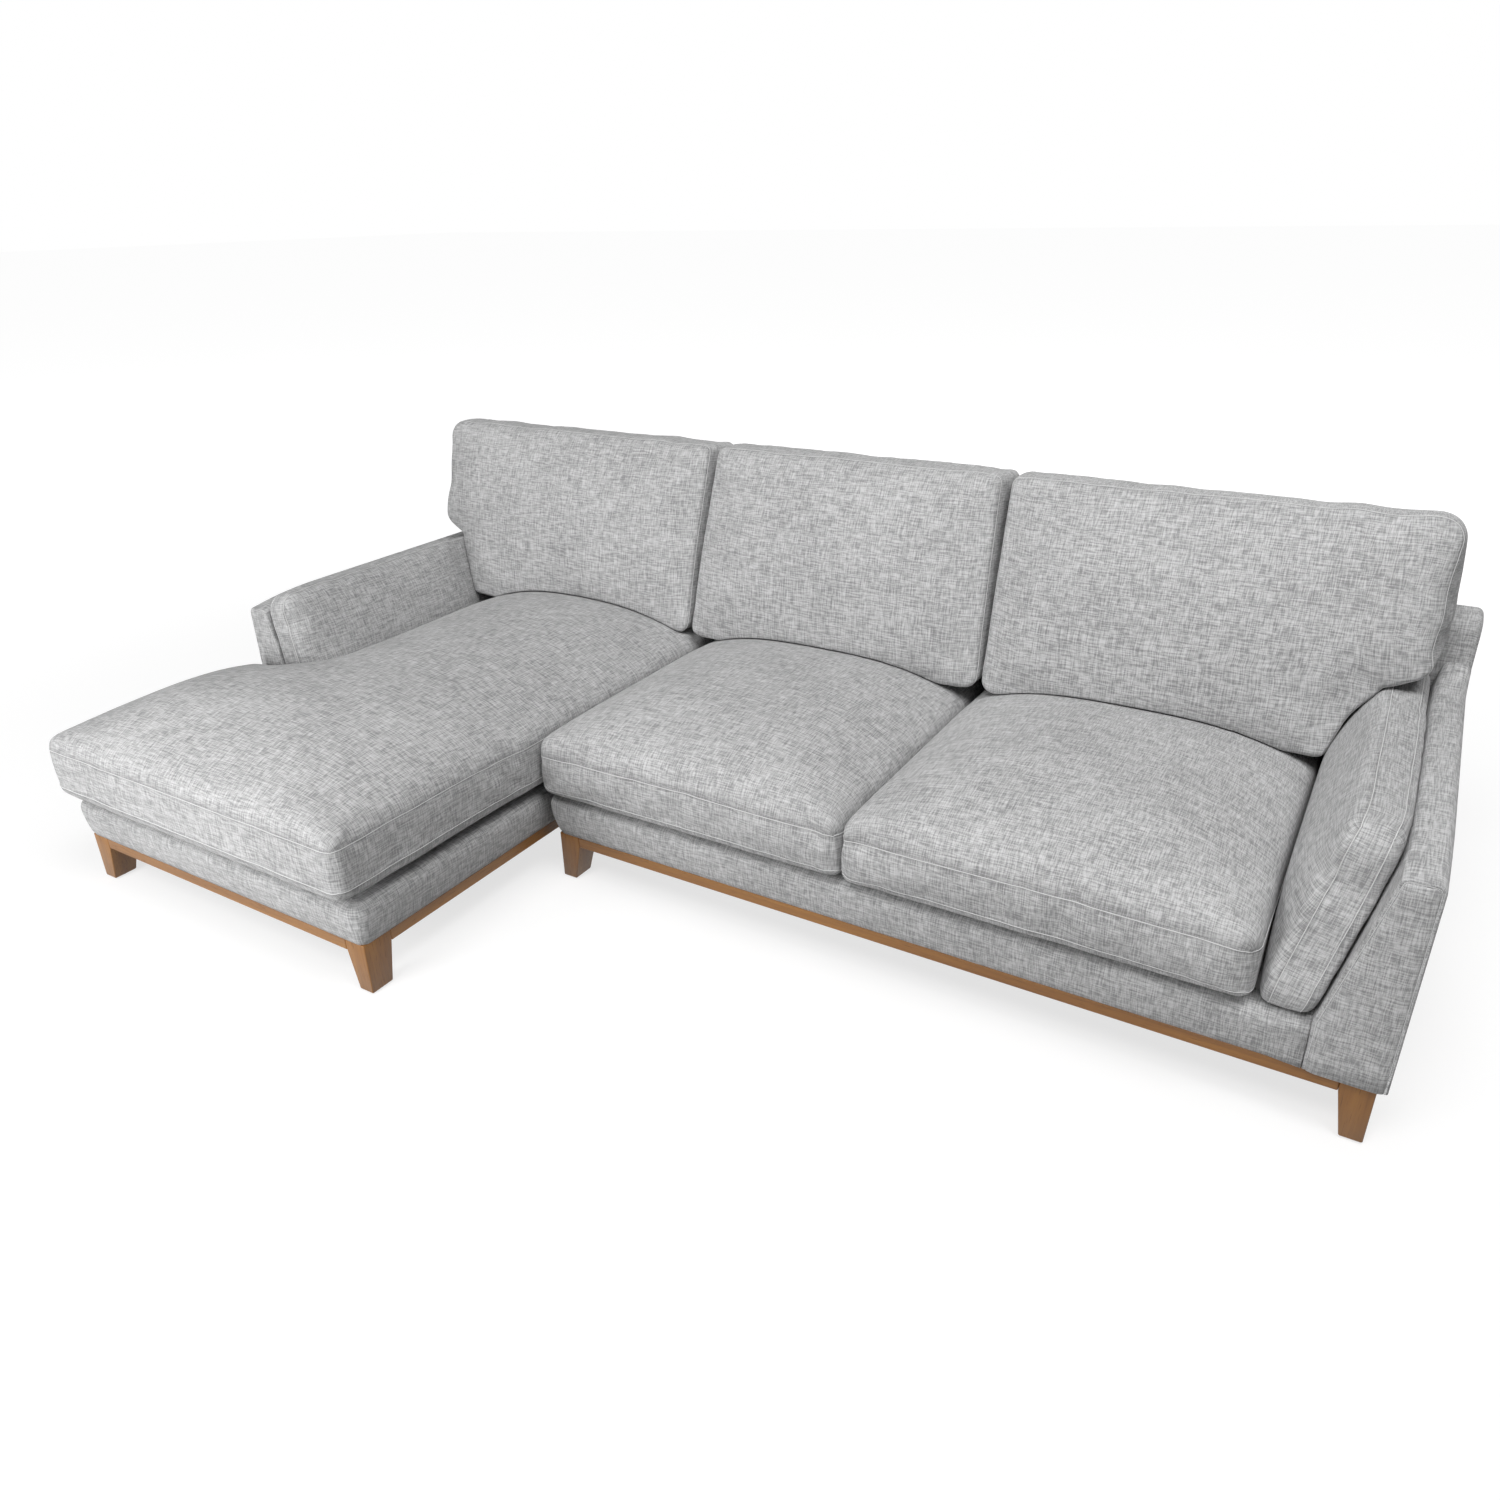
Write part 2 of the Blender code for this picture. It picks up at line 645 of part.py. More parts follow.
class CushionGrid:
    """A grid of cells with rounded outer corners, and the loop round its edge."""

    def __init__(self, columns, rows, missing, corners, radius, warp):
        self.points = {}
        self.cells = []
        for i in range(len(columns) - 1):
            for j in range(len(rows) - 1):
                middle = ((columns[i] + columns[i + 1]) / 2, (rows[j] + rows[j + 1]) / 2)
                if not missing(*middle):
                    self.cells.append(((i, j), (i + 1, j), (i + 1, j + 1), (i, j + 1)))
        for cell in self.cells:
            for i, j in cell:
                u, v = columns[i], rows[j]
                for corner_u, corner_v, inward_u, inward_v in corners:
                    a = (u - corner_u) * inward_u
                    b = (v - corner_v) * inward_v
                    if 0 <= a < radius and 0 <= b < radius:
                        c, d = (radius - a) / radius, (radius - b) / radius
                        u = corner_u + inward_u * radius * (1 - c * math.sqrt(1 - d * d / 2))
                        v = corner_v + inward_v * radius * (1 - d * math.sqrt(1 - c * c / 2))
                self.points[i, j] = Vector(warp(u, v))
        self.rim = self.walk_rim()
        self.loop = [self.points[key] for key in self.rim]

    def walk_rim(self):
        """The keys round the edge, anticlockwise."""
        sides = set()
        for cell in self.cells:
            for start, end in zip(cell, cell[1:] + cell[:1]):
                sides.add((start, end))
        following = {start: end for start, end in sides if (end, start) not in sides}
        first = min(following)
        rim = [first]
        while following[rim[-1]] != first:
            rim.append(following[rim[-1]])
        return rim

    def draw_in(self, amount):
        """The rim's points, moved inward by an amount."""
        moved = {}
        count = len(self.rim)
        for k, key in enumerate(self.rim):
            run = self.loop[(k + 1) % count] - self.loop[k - 1]
            inward = Vector((-run.y, run.x)).normalized()
            moved[key] = self.loop[k] + inward * amount
        return moved


def make_cushion(name, grid, draw, lower, upper, place):
    """A boxed cushion: two crowned panels sewn to a strip, with the seams drawn in.

    lower and upper give a panel's height for a point and its distance from the edge; place puts
    a point of the grid at a height.
    """
    bm = bmesh.new()
    seam_points = grid.draw_in(draw)
    panels = []
    for panel in (lower, upper):
        corners = {}
        for key, point in grid.points.items():
            on_seam = key in seam_points
            point = seam_points[key] if on_seam else point
            depth = 0 if on_seam else distance_to(grid.loop, point)
            corners[key] = bm.verts.new(place(point, panel(point, depth)))
        panels.append(corners)
    for cell in grid.cells:
        bm.faces.new([panels[1][key] for key in cell])
        bm.faces.new([panels[0][key] for key in reversed(cell)])
    girth = {}
    for key, point in zip(grid.rim, grid.loop):
        low, high = lower(point, 0), upper(point, 0)
        girth[key] = bm.verts.new(place(point, low + (high - low) * boxing_middle_share))
    for key, following in zip(grid.rim, grid.rim[1:] + grid.rim[:1]):
        bm.faces.new((panels[0][key], panels[0][following], girth[following], girth[key]))
        bm.faces.new((girth[key], girth[following], panels[1][following], panels[1][key]))
    return new_piece(name, bm, FABRIC, smooth=True)


seat_tops = []


def seat_surface(x, y):
    """The height of the seat cushions' top at a place, or the floor where there is none."""
    point = Vector((x, y))
    best = 0
    for grid, top in seat_tops:
        if inside(grid.loop, point):
            best = max(best, top(point, distance_to(grid.loop, point)))
    return best


def inside(loop, point):
    """Whether a point lies inside a closed loop, by counting crossings."""
    crossings = 0
    for start, end in zip(loop, loop[1:] + loop[:1]):
        if (start.y > point.y) != (end.y > point.y):
            cross_x = start.x + (point.y - start.y) / (end.y - start.y) * (end.x - start.x)
            crossings += cross_x > point.x
    return crossings % 2 == 1


def pressed(y):
    """How much of a back cushion's weight a place at y takes, from 0 to 1."""
    return ease((y - back_face(deck_top) + press_start) / (press_start - press_end))


def seat_cushion(name, grid, lower_rise, round_reach, upper_rise, full_crown, reach, power):
    """A domed seat cushion on the deck, pressed down where a back cushion stands on it."""

    def lower(point, depth):
        return cushion_floor + lower_rise * (1 - quarter(depth / round_reach))

    def upper(point, depth):
        crown = full_crown * dome(depth / reach, power)
        crown -= min(crown, seat_press * pressed(point.y) * quarter(depth / seat_shoulder))
        return cushion_floor + upper_rise + crown

    def place(point, height):
        return Vector((point.x, point.y, height))

    seat_tops.append((grid, upper))
    make_cushion(name, grid, seat_seam_draw, lower, upper, place)


def no_notch(u, v):
    return False


def no_warp(u, v):
    return (u, v)


def make_seat_cushions():
    close = close_lines(seat_shoulder)
    rear = back_face(deck_top) - soft_gap
    split = x_joint + cushion_joint_offset
    inner_left = split + soft_gap / 2
    inner_right = seat.right - pad_room
    width = (inner_right - inner_left - soft_gap) / 2
    front = seat_front - seat_cushion_front
    for side, low in (("left", inner_left), ("right", inner_left + width + soft_gap)):
        columns = span_lines(low, low + width, close, close, seat_cells)
        rows = span_lines(front, rear, close, close, seat_cells)
        corners = ((low, front, 1, 1), (low + width, front, -1, 1),
                   (low, rear, 1, -1), (low + width, rear, -1, -1))
        grid = CushionGrid(columns, rows, no_notch, corners, seat_corner_radius, no_warp)
        seat_cushion(f"seat_cushion_{side}", grid, seat_lower_rise, seat_round_reach,
                     seat_seam_rise, seat_crown, seat_crown_reach, seat_dome_power)

    outer = x_left + chaise_cushion_side
    notch_x = chaise.left + pad_room
    notch_y = seat_front - pad_front - chaise_notch_gap
    right = split - soft_gap / 2
    front = -overall_depth / 2
    columns = span_lines(outer, notch_x, close, [], chaise_arm_cells)
    columns += span_lines(notch_x, right, close, close, chaise_cells)[1:]
    rows = span_lines(front, notch_y, close, close, chaise_front_cells)
    rows += span_lines(notch_y, rear, [], close, chaise_rear_cells)[1:]
    corners = ((outer, front, 1, 1), (right, front, -1, 1), (right, rear, -1, -1),
               (notch_x, rear, 1, -1), (outer, notch_y, 1, -1))

    def beside_arm(u, v):
        return u < notch_x and v > notch_y

    grid = CushionGrid(columns, rows, beside_arm, corners, seat_corner_radius, no_warp)
    seat_cushion("chaise_seat_cushion", grid, chaise_lower_rise, chaise_round_reach,
                 chaise_seam_rise, chaise_crown, chaise_crown_reach, chaise_dome_power)


def make_arm_pad(side):
    """A boxed pad leaning on the arm's inner face, crowned towards the seat."""
    if side == "left":
        edge, inward, press = x_left, 1, left_pad_press
    else:
        edge, inward, press = x_right, -1, right_pad_press
    slope = (arm_base_width - arm_top_width) / (arm_front_height - deck_top)
    lean = math.atan(slope)
    front = seat_front - pad_front
    close = close_lines(pad_shoulder)
    length_end = back_face(deck_top)
    columns = span_lines(front, length_end, close, close, pad_length_cells)
    rows = span_lines(0, pad_height, close, close, pad_height_cells)

    def warp(u, v):
        along = (u - front) / (length_end - front)
        rear_shift = back_lean * v * math.cos(lean) - soft_gap
        return (u + (1 - along) * pad_front_slope * v / pad_height + along * rear_shift, v)

    corners = ((front, pad_height, 1, -1), (front, 0, 1, 1))
    grid = CushionGrid(columns, rows, no_notch, corners, pad_corner_radius, warp)

    def lower(point, depth):
        return soft_gap / 2 + pad_outer_seam * (1 - quarter(depth / (pad_shoulder / 2)))

    def upper(point, depth):
        crown = pad_crown * (quarter(depth / pad_shoulder) + ease(depth / (pad_height / 2))) / 2
        crown -= min(crown, press * pressed(point.x) * quarter(depth / pad_shoulder))
        return pad_inner_seam + crown

    def place(point, height):
        v = point.y - pad_settle * pressed(point.x) * ease(point.y / pad_height)
        up = v * math.cos(lean) + height * math.sin(lean) * ease(point.y / pad_shoulder)
        from_side = arm_base_width - v * math.sin(lean) + height * math.cos(lean)
        from_side = min(from_side, cover_overhang + pad_room - soft_gap)
        return Vector((edge + inward * from_side, point.x, cushion_floor + up))

    make_cushion(f"{'chaise' if side == 'left' else 'seat'}_arm_pad", grid, pad_seam_draw,
                 lower, upper, place)


def back_cushion(name, grid, foot, head):
    """A back cushion lying on the back's face, its foot hanging forward onto the seat."""
    lean = math.atan(back_lean)

    def lower(point, depth):
        return gap + back_rear_seam * (1 - quarter(depth / (back_shoulder / 2)))

    def upper(point, depth):
        share = (point.y - foot) / (head - foot)
        boxing = back_foot_boxing + (back_head_boxing - back_foot_boxing) * share
        crown = back_shoulder_rise * quarter(depth / back_shoulder)
        crown += back_front_crown * ease(depth / ((head - foot) / 2))
        return gap + back_rear_seam + boxing + crown

    def place(point, height):
        droop = back_foot_droop * height / (back_rear_seam + back_foot_boxing)
        droop *= ease(1 - (point.y - foot) / back_droop_reach)
        z = deck_top + point.y * math.cos(lean) + height * math.sin(lean) - droop
        y = back_face(deck_top) + point.y * math.sin(lean) - height * math.cos(lean)
        return Vector((point.x, y, max(z, seat_surface(point.x, y) + settle_gap)))

    make_cushion(name, grid, back_seam_draw, lower, upper, place)


def make_back_cushions():
    close = close_lines(back_shoulder)
    foot = back_cushion_lift
    head = foot + back_cushion_height
    low = x_joint + centre_cushion_offset
    high = low + centre_cushion_width
    columns = span_lines(low, high, close, close, back_width_cells)
    rows = span_lines(foot, head, close, close, back_height_cells)
    corners = ((low, foot, 1, 1), (high, foot, -1, 1), (low, head, 1, -1), (high, head, -1, -1))

    def flared(u, v):
        """Spread both sides towards the foot."""
        sideways = (u - (low + high) / 2) / (centre_cushion_width / 2)
        return (u + centre_cushion_flare * sideways * (head - v) / (head - foot), v)

    grid = CushionGrid(columns, rows, no_notch, corners, back_cushion_corner, flared)
    back_cushion("back_cushion_middle", grid, foot, head)

    ledge = foot + notch_height
    sides = (("left", low - soft_gap, chaise.left, -1,
              (left_foot_room, left_notch_room, left_ear_room), left_round_share),
             ("right", high + soft_gap, seat.right, 1,
              (right_foot_room, right_notch_room, right_ear_room), right_round_share))
    for side, inner, plinth_side, outward, rooms, round_share in sides:
        foot_room, notch_room, ear_room = rooms
        notch = plinth_side - outward * notch_room
        outer = plinth_side - outward * ear_room
        near = span_lines(0, abs(notch - inner), close, [], back_width_cells)
        ear = span_lines(abs(notch - inner), abs(outer - inner), [], close[:1], ear_cell_count)
        columns = sorted(inner + outward * line for line in near + ear[1:])
        rows = span_lines(foot, ledge, close[:2], [], low_cell_count)
        rows += span_lines(ledge, head, close[:1], close, head_cell_count)[1:]

        def under_ear(u, v, notch=notch, outward=outward):
            return (u - notch) * outward > 0 and v < ledge

        def slant(u, v, inner=inner, notch=notch, outer=outer, outward=outward,
                  round_share=round_share, taper=outward * (foot_room - notch_room)):
            """Narrow the foot, so that its sides follow the arm pad and the centre cushion."""
            across = max(0, (u - inner) / (notch - inner))
            below = 1 - min(1, (v - foot) / notch_height)
            out = max(0, (u - notch) / (outer - notch))
            above = max(0, min(1, (head - v) / (head - ledge)))
            flare = centre_cushion_flare * max(0, 1 - across) * (head - v) / (head - foot)
            narrow = taper * below * (1 + round_share * (1 - below)) * across
            return (u + outward * flare - narrow, v + ear_rise * out * above)

        corners = ((inner, foot, outward, 1), (inner, head, outward, -1),
                   (notch, foot, -outward, 1), (outer, ledge, -outward, 1),
                   (outer, head, -outward, -1))
        grid = CushionGrid(columns, rows, under_ear, corners, back_cushion_corner, slant)
        back_cushion(f"back_cushion_{side}", grid, foot, head)


def main():
    for old in list(bpy.data.objects):
        bpy.data.objects.remove(old)
    for unit in (chaise, seat):
        make_legs(unit)
        make_plinth_rails(unit)
        make_frame(unit)
        make_webbing(unit)
        make_dust_cover(unit)
        make_back(unit)
    make_borders()
    make_decks()
    make_connectors()
    for side in ("left", "right"):
        make_arm(side)
        make_arm_pad(side)
    make_seat_cushions()
    make_back_cushions()


main()
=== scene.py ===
"""Looks of the corner sofa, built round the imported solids."""
import math

import bmesh
import bpy
import numpy as np
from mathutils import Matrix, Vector
from mathutils.bvhtree import BVHTree


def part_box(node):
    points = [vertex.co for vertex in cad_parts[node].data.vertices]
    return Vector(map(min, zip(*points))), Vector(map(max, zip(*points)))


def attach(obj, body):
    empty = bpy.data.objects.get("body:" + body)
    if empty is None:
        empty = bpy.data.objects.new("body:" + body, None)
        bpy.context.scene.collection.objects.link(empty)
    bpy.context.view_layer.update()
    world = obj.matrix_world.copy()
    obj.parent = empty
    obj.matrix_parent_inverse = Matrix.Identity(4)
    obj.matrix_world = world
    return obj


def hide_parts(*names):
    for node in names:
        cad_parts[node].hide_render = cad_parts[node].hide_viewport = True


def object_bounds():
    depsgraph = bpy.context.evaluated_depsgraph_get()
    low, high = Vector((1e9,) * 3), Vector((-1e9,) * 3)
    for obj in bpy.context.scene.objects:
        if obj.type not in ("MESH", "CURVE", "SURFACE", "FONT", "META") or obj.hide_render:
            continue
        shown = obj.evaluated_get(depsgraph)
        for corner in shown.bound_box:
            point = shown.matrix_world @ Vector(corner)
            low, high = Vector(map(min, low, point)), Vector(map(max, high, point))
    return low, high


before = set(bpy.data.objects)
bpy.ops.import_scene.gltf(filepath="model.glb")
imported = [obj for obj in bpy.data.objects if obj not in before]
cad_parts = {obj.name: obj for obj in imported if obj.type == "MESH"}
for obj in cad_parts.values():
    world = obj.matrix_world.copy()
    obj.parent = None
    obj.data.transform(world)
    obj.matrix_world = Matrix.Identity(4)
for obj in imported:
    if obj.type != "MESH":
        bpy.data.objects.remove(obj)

cad_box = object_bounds()


def foot_and_top(node):
    """The heights of a solid's foot and top."""
    return [corner.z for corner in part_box(node)]


# Overall places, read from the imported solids
gap = 0.0003
x_left = cad_box[0][0]
x_right, y_rear = cad_box[1][0], cad_box[1][1]
rail_bottom, plinth_top = foot_and_top("chaise_plinth_front")
seat_on_plinth, frame_top = foot_and_top("chaise_frame_front")
deck_bottom, deck_top = foot_and_top("chaise_deck")
back_height = foot_and_top("seat_back_cover")[1]
cushion_floor = deck_top + gap
x_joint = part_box("chaise_back_cover")[1].x + gap / 2
chaise_left, chaise_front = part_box("chaise_leg_front_left")[0].xy
chaise_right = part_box("chaise_leg_front_right")[1].x
seat_left, seat_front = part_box("seat_leg_front_left")[0].xy
seat_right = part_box("seat_leg_front_right")[1].x
plinth_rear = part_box("seat_leg_rear_left")[1].y

# Sizes of the upholstery
cover_overhang = 0.015
joint_overhang = 0.0235
back_foot_depth = 0.185
back_top_depth = 0.122
back_edge_radius = 0.030
back_lean = (back_foot_depth - back_top_depth) / (back_height - deck_top)
arm_base_width = 0.132
arm_top_width = 0.062
arm_front_height = 0.525
arm_height = 0.543
arm_rise_length = 0.200
arm_front_bulge = 0.008
arm_edge_radius = 0.016
arm_sweep_radius = 0.090
arm_sweep_share = 0.8
arm_slope = (arm_base_width - arm_top_width) / (arm_front_height - deck_top)
arm_lean = math.atan(arm_slope)
border_lip = 0.045
border_foot = 0.004
border_edge_radius = 0.025
frame_inset = 0.012
soft_gap = 0.002
pad_room = 0.212
pad_overhang = 0.022
rail_width = 0.025
leg_width, leg_depth = 0.055, 0.070
board_thickness, board_margin = 0.012, 0.030
arm_board_height, back_board_height = 0.500, 0.612
board_room = board_thickness + 2 * gap

# Spacing of the cloth's grid beside a seam, and the wavelengths of its gathers
seam_steps = (0.003, 0.008, 0.016, 0.028)
strip_step = 0.011
small_waves = (0.026, 0.041, 0.058, 0.083)
long_waves = (0.12, 0.19, 0.31)


def back_face(z):
    """The y of the backs' leaning front face."""
    return y_rear - back_foot_depth + back_lean * (z - deck_top)


# Node trees


class Amount:
    """A socket whose value varies, for use in sums."""

    def __init__(self, nodes, socket):
        self.nodes = nodes
        self.socket = socket

    def maths(self, operation, *others):
        return self.nodes.node("ShaderNodeMath", {"operation": operation}, *others)["Value"]

    def __add__(self, other):
        return self.maths("ADD", self, other)

    def __sub__(self, other):
        return self.maths("SUBTRACT", self, other)

    def __rsub__(self, other):
        return self.maths("SUBTRACT", other, self)

    def __mul__(self, other):
        return self.maths("MULTIPLY", self, other)

    __radd__ = __add__
    __rmul__ = __mul__

    def highest(self, other):
        return self.maths("MAXIMUM", self, other)

    def spread(self, low, high):
        """Smoothly from 0 to 1 as the number goes from low to high."""
        settings = {"interpolation_type": "SMOOTHSTEP"}
        return self.nodes.node("ShaderNodeMapRange", settings, self, low, high)["Result"]


class Outputs:
    """A node's output sockets, by name."""

    def __init__(self, nodes, node):
        self.nodes = nodes
        self.node = node

    def __getitem__(self, name):
        return Amount(self.nodes, self.node.outputs[name])


class Nodes:
    """A node tree whose nodes are made with their settings and sockets filled."""

    def __init__(self, tree):
        self.tree = tree

    def fill(self, socket, value):
        if isinstance(value, Amount):
            self.tree.links.new(value.socket, socket)
        else:
            socket.default_value = value

    def node(self, kind, settings=None, *values, **named):
        """A node with its settings made first, then its sockets filled in order or by name."""
        made = self.tree.nodes.new(kind)
        for key, value in (settings or {}).items():
            setattr(made, key, value)
        filled = list(enumerate(values)) + [(key.replace("_", " "), v) for key, v in named.items()]
        for key, value in filled:
            self.fill(made.inputs[key], value)
        return Outputs(self, made)

    def seen(self):
        """1 where the camera or a reflection sees the surface, 0 where it only gives light."""
        path = self.node("ShaderNodeLightPath")
        return path["Is Camera Ray"].highest(path["Is Glossy Ray"])


def socket_name(key):
    return key.replace("_", " ").title().replace("Ior", "IOR")


class Look(Nodes):
    """A procedural material with one Principled shader."""

    def __init__(self, name, **constants):
        self.material = bpy.data.materials.new(name)
        self.material.use_nodes = True
        super().__init__(self.material.node_tree)
        self.tree.nodes.clear()
        self.shader = self.tree.nodes.new("ShaderNodeBsdfPrincipled")
        self.output = self.tree.nodes.new("ShaderNodeOutputMaterial")
        self.tree.links.new(self.shader.outputs["BSDF"], self.output.inputs["Surface"])
        self.paint(**constants)

    def paint(self, **sockets):
        for key, value in sockets.items():
            self.fill(self.shader.inputs[socket_name(key)], value)

    def noise(self, vector, scale, detail=2.0, shift=(0, 0, 0), roughness=0.5):
        place = self.node("ShaderNodeVectorMath", {"operation": "MULTIPLY_ADD"},
                          vector, scale, shift)
        made = self.node("ShaderNodeTexNoise", {"noise_dimensions": "3D"}, Vector=place["Vector"],
                         Scale=1.0, Detail=detail, Roughness=roughness)
        return Amount(self, made.node.outputs[0])

    def blend(self, share, first, second):
        """A colour between two, or between varying ones."""
        node = self.node("ShaderNodeMix", {"data_type": "RGBA"}).node
        self.fill(node.inputs[0], share)
        for socket, colour in ((node.inputs[6], first), (node.inputs[7], second)):
            self.fill(socket, (*colour, 1.0) if isinstance(colour, tuple) else colour)
        return Amount(self, node.outputs[2])

    def bump(self, height, distance, strength):
        made = self.node("ShaderNodeBump", Strength=strength, Distance=distance, Height=height)
        self.paint(normal=made["Normal"])

    def place(self):
        return self.node("ShaderNodeTexCoord")["Object"]

    def cloth_map(self):
        return self.node("ShaderNodeUVMap", {"uv_map": "cloth"})["UV"]


# Materials


def slub_cloth(name, dark, light):
    """A woven cloth with thick and thin threads both ways and a lightly brushed face."""
    look = Look(name, roughness=0.92, sheen_weight=0.10, sheen_roughness=0.6,
                specular_ior_level=0.22)
    uv = look.cloth_map()
    across, along = 480, 38
    slub_across, slub_along = 240, 16

    def yarn(scale_u, scale_v, shift):
        return look.noise(uv, (scale_u, scale_v, 1), detail=1, shift=(0, 0, shift))

    warp = yarn(across, along, 2.1).spread(0.36, 0.64)
    weft = yarn(along, across, 7.7).spread(0.36, 0.64)
    slub_warp = yarn(slub_across, slub_along, 13.3)
    slub_weft = yarn(slub_along, slub_across, 19.9)
    pale = slub_warp.spread(0.58, 0.70) + slub_weft.spread(0.58, 0.70)
    deep = slub_warp.spread(0.44, 0.32) + slub_weft.spread(0.44, 0.32)
    mottle = look.noise(uv, (30, 30, 1), detail=3, shift=(3.7, 1.9, 4.0), roughness=0.6)
    patch = look.noise(uv, (5, 8, 1), shift=(1.7, 5.9, 9.0))
    grain = look.noise(uv, (800, 800, 1), detail=1)
    share = (0.5 + (warp - 0.5) * 0.50 + (weft - 0.5) * 0.50 + (pale - deep) * 0.17
             + (mottle - 0.5) * 0.22 + (patch - 0.5) * 0.42 + (grain - 0.5) * 0.4)
    # Painted shade: the cloth's colour is darkened along each seam mark, standing in for the shade
    # in the seam's groove.
    seam = look.node("ShaderNodeAttribute", {"attribute_name": "seam"})["Fac"]
    seam_groove_painted_shade = (0.09, 0.09, 0.09)
    look.paint(base_color=look.blend(seam * 0.40, look.blend(share, dark, light), seam_groove_painted_shade))
    look.bump(warp * 0.4 + weft * 0.4 + pale * 0.3 + grain * 0.3, 0.0010, 0.6)
    return look.material


def plain_cloth(name, dark, light, pitch=900):
    """A plain, thin woven or bonded cloth."""
    look = Look(name, roughness=0.95, specular_ior_level=0.2)
    place = look.place()
    fibre = look.noise(place, (pitch, pitch, pitch))
    cloud = look.noise(place, (30, 30, 30), detail=3, shift=(5, 1, 3))
    look.paint(base_color=look.blend(fibre * 0.6 + cloud * 0.4, dark, light))
    look.bump(fibre, 0.0004, 0.5)
    return look.material


def wood(name, along, dark, light, deep, roughness=0.42, coat=0.0):
    """Timber with its grain along one axis: bands, fine streaks and open pores."""
    look = Look(name, roughness=roughness, coat_weight=coat, coat_roughness=0.35)
    place = look.place()

    def run(across, length):
        return tuple(length if k == along else across for k in range(3))

    bands = look.noise(place, run(26, 1.6), detail=3, shift=(4.2, 0.3, 1.1), roughness=0.55)
    streaks = look.noise(place, run(190, 6), detail=4, shift=(1.1, 7.3, 2.9))
    pores = look.noise(place, run(620, 26), detail=1, shift=(8.8, 2.2, 5.5)).spread(0.60, 0.72)
    share = bands.spread(0.34, 0.66) * 0.55 + streaks * 0.75 - 0.15
    colour = look.blend(pores * 0.55, look.blend(share, dark, light), deep)
    look.paint(base_color=colour, roughness=roughness + pores * 0.18 + (streaks - 0.5) * 0.12)
    look.bump(streaks * 0.4 - pores, 0.0003, 0.5)
    return look.material


def plywood(name, dark, light):
    look = Look(name, roughness=0.7)
    place = look.place()
    ply = look.noise(place, (900, 2, 4), detail=0, shift=(3, 1, 2))
    streaks = look.noise(place, (60, 90, 5), detail=4, shift=(2, 4, 6))
    look.paint(base_color=look.blend(ply * 0.4 + streaks * 0.6, dark, light))
    look.bump(streaks, 0.0003, 0.4)
    return look.material


def strap_cloth(name, dark, light):
    """Elastic webbing, with ribs along it and rows of thread across."""
    look = Look(name, roughness=0.85, specular_ior_level=0.3)
    uv = look.cloth_map()
    ribs = look.noise(uv, (1400, 60, 1), detail=1)
    rows = look.noise(uv, (40, 900, 1), detail=1)
    share = ribs * 0.6 + rows * 0.4
    look.paint(base_color=look.blend(share, dark, light))
    look.bump(share, 0.0005, 0.6)
    return look.material


def metal(name, dark, light, roughness):
    look = Look(name, metallic=1.0)
    place = look.place()
    cloud = look.noise(place, (140, 140, 140), detail=4, roughness=0.6)
    scratch = look.noise(place, (1200, 90, 1200), shift=(2, 3, 4))
    look.paint(base_color=look.blend(cloud, dark, light),
               roughness=roughness + (cloud - 0.5) * 0.25)
    look.bump(scratch, 0.0001, 0.4)
    return look.material


def moulded(name, dark, light, roughness):
    look = Look(name, roughness=roughness)
    grain = look.noise(look.place(), (1500, 1500, 1500), detail=1)
    look.paint(base_color=look.blend(grain, dark, light))
    look.bump(grain, 0.0002, 0.4)
    return look.material


cloth = slub_cloth("upholstery_cloth", (0.265, 0.265, 0.267), (0.605, 0.605, 0.607))
thread = plain_cloth("seam_thread", (0.56, 0.56, 0.56), (0.78, 0.78, 0.78))
lining = plain_cloth("deck_lining", (0.30, 0.30, 0.30), (0.48, 0.48, 0.48))
bonded = plain_cloth("underside_cloth", (0.018, 0.018, 0.019), (0.050, 0.050, 0.052), 700)
oak = [wood(f"plinth_oak_{label}", axis, (0.178, 0.070, 0.0136), (0.334, 0.150, 0.033),
            (0.089, 0.0325, 0.0072), coat=0.15)
       for axis, label in enumerate("xyz")]
pine = [wood(f"frame_pine_{label}", axis, (0.52, 0.36, 0.20), (0.76, 0.60, 0.40),
             (0.40, 0.26, 0.14), roughness=0.68)
        for axis, label in enumerate("xy")]
board = plywood("board_plywood", (0.42, 0.29, 0.16), (0.70, 0.54, 0.36))
webbing = strap_cloth("seat_webbing", (0.03, 0.03, 0.035), (0.16, 0.16, 0.17))
zinc = metal("zinc_plate", (0.42, 0.42, 0.43), (0.66, 0.66, 0.67), 0.36)
nylon = moulded("glide_nylon", (0.035, 0.035, 0.036), (0.060, 0.060, 0.062), 0.45)


# Mesh tools


def linked(name, data):
    """A new object at the origin, in the scene."""
    made = bpy.data.objects.new(name, data)
    bpy.context.collection.objects.link(made)
    return made


def new_piece(name, points, faces=(), material=None, uvs=None, seam=None, smooth=True, edges=()):
    """A mesh object at the origin, with its cloth map and seam marks, where the cloth takes painted
    seam shade.
    """
    mesh = bpy.data.meshes.new(name)
    mesh.from_pydata([tuple(p) for p in points], edges, faces)
    if uvs is not None:
        layer = mesh.uv_layers.new(name="cloth")
        flat = [coordinate for face in uvs for pair in face for coordinate in pair]
        layer.data.foreach_set("uv", flat)
    if seam is not None:
        marks = mesh.attributes.new("seam", "FLOAT", "POINT")
        marks.data.foreach_set("value", np.asarray(seam, np.float32))
    if material:
        mesh.materials.append(material)
    mesh.update()
    if faces and smooth:
        mesh.shade_smooth()
    return linked(name, mesh)


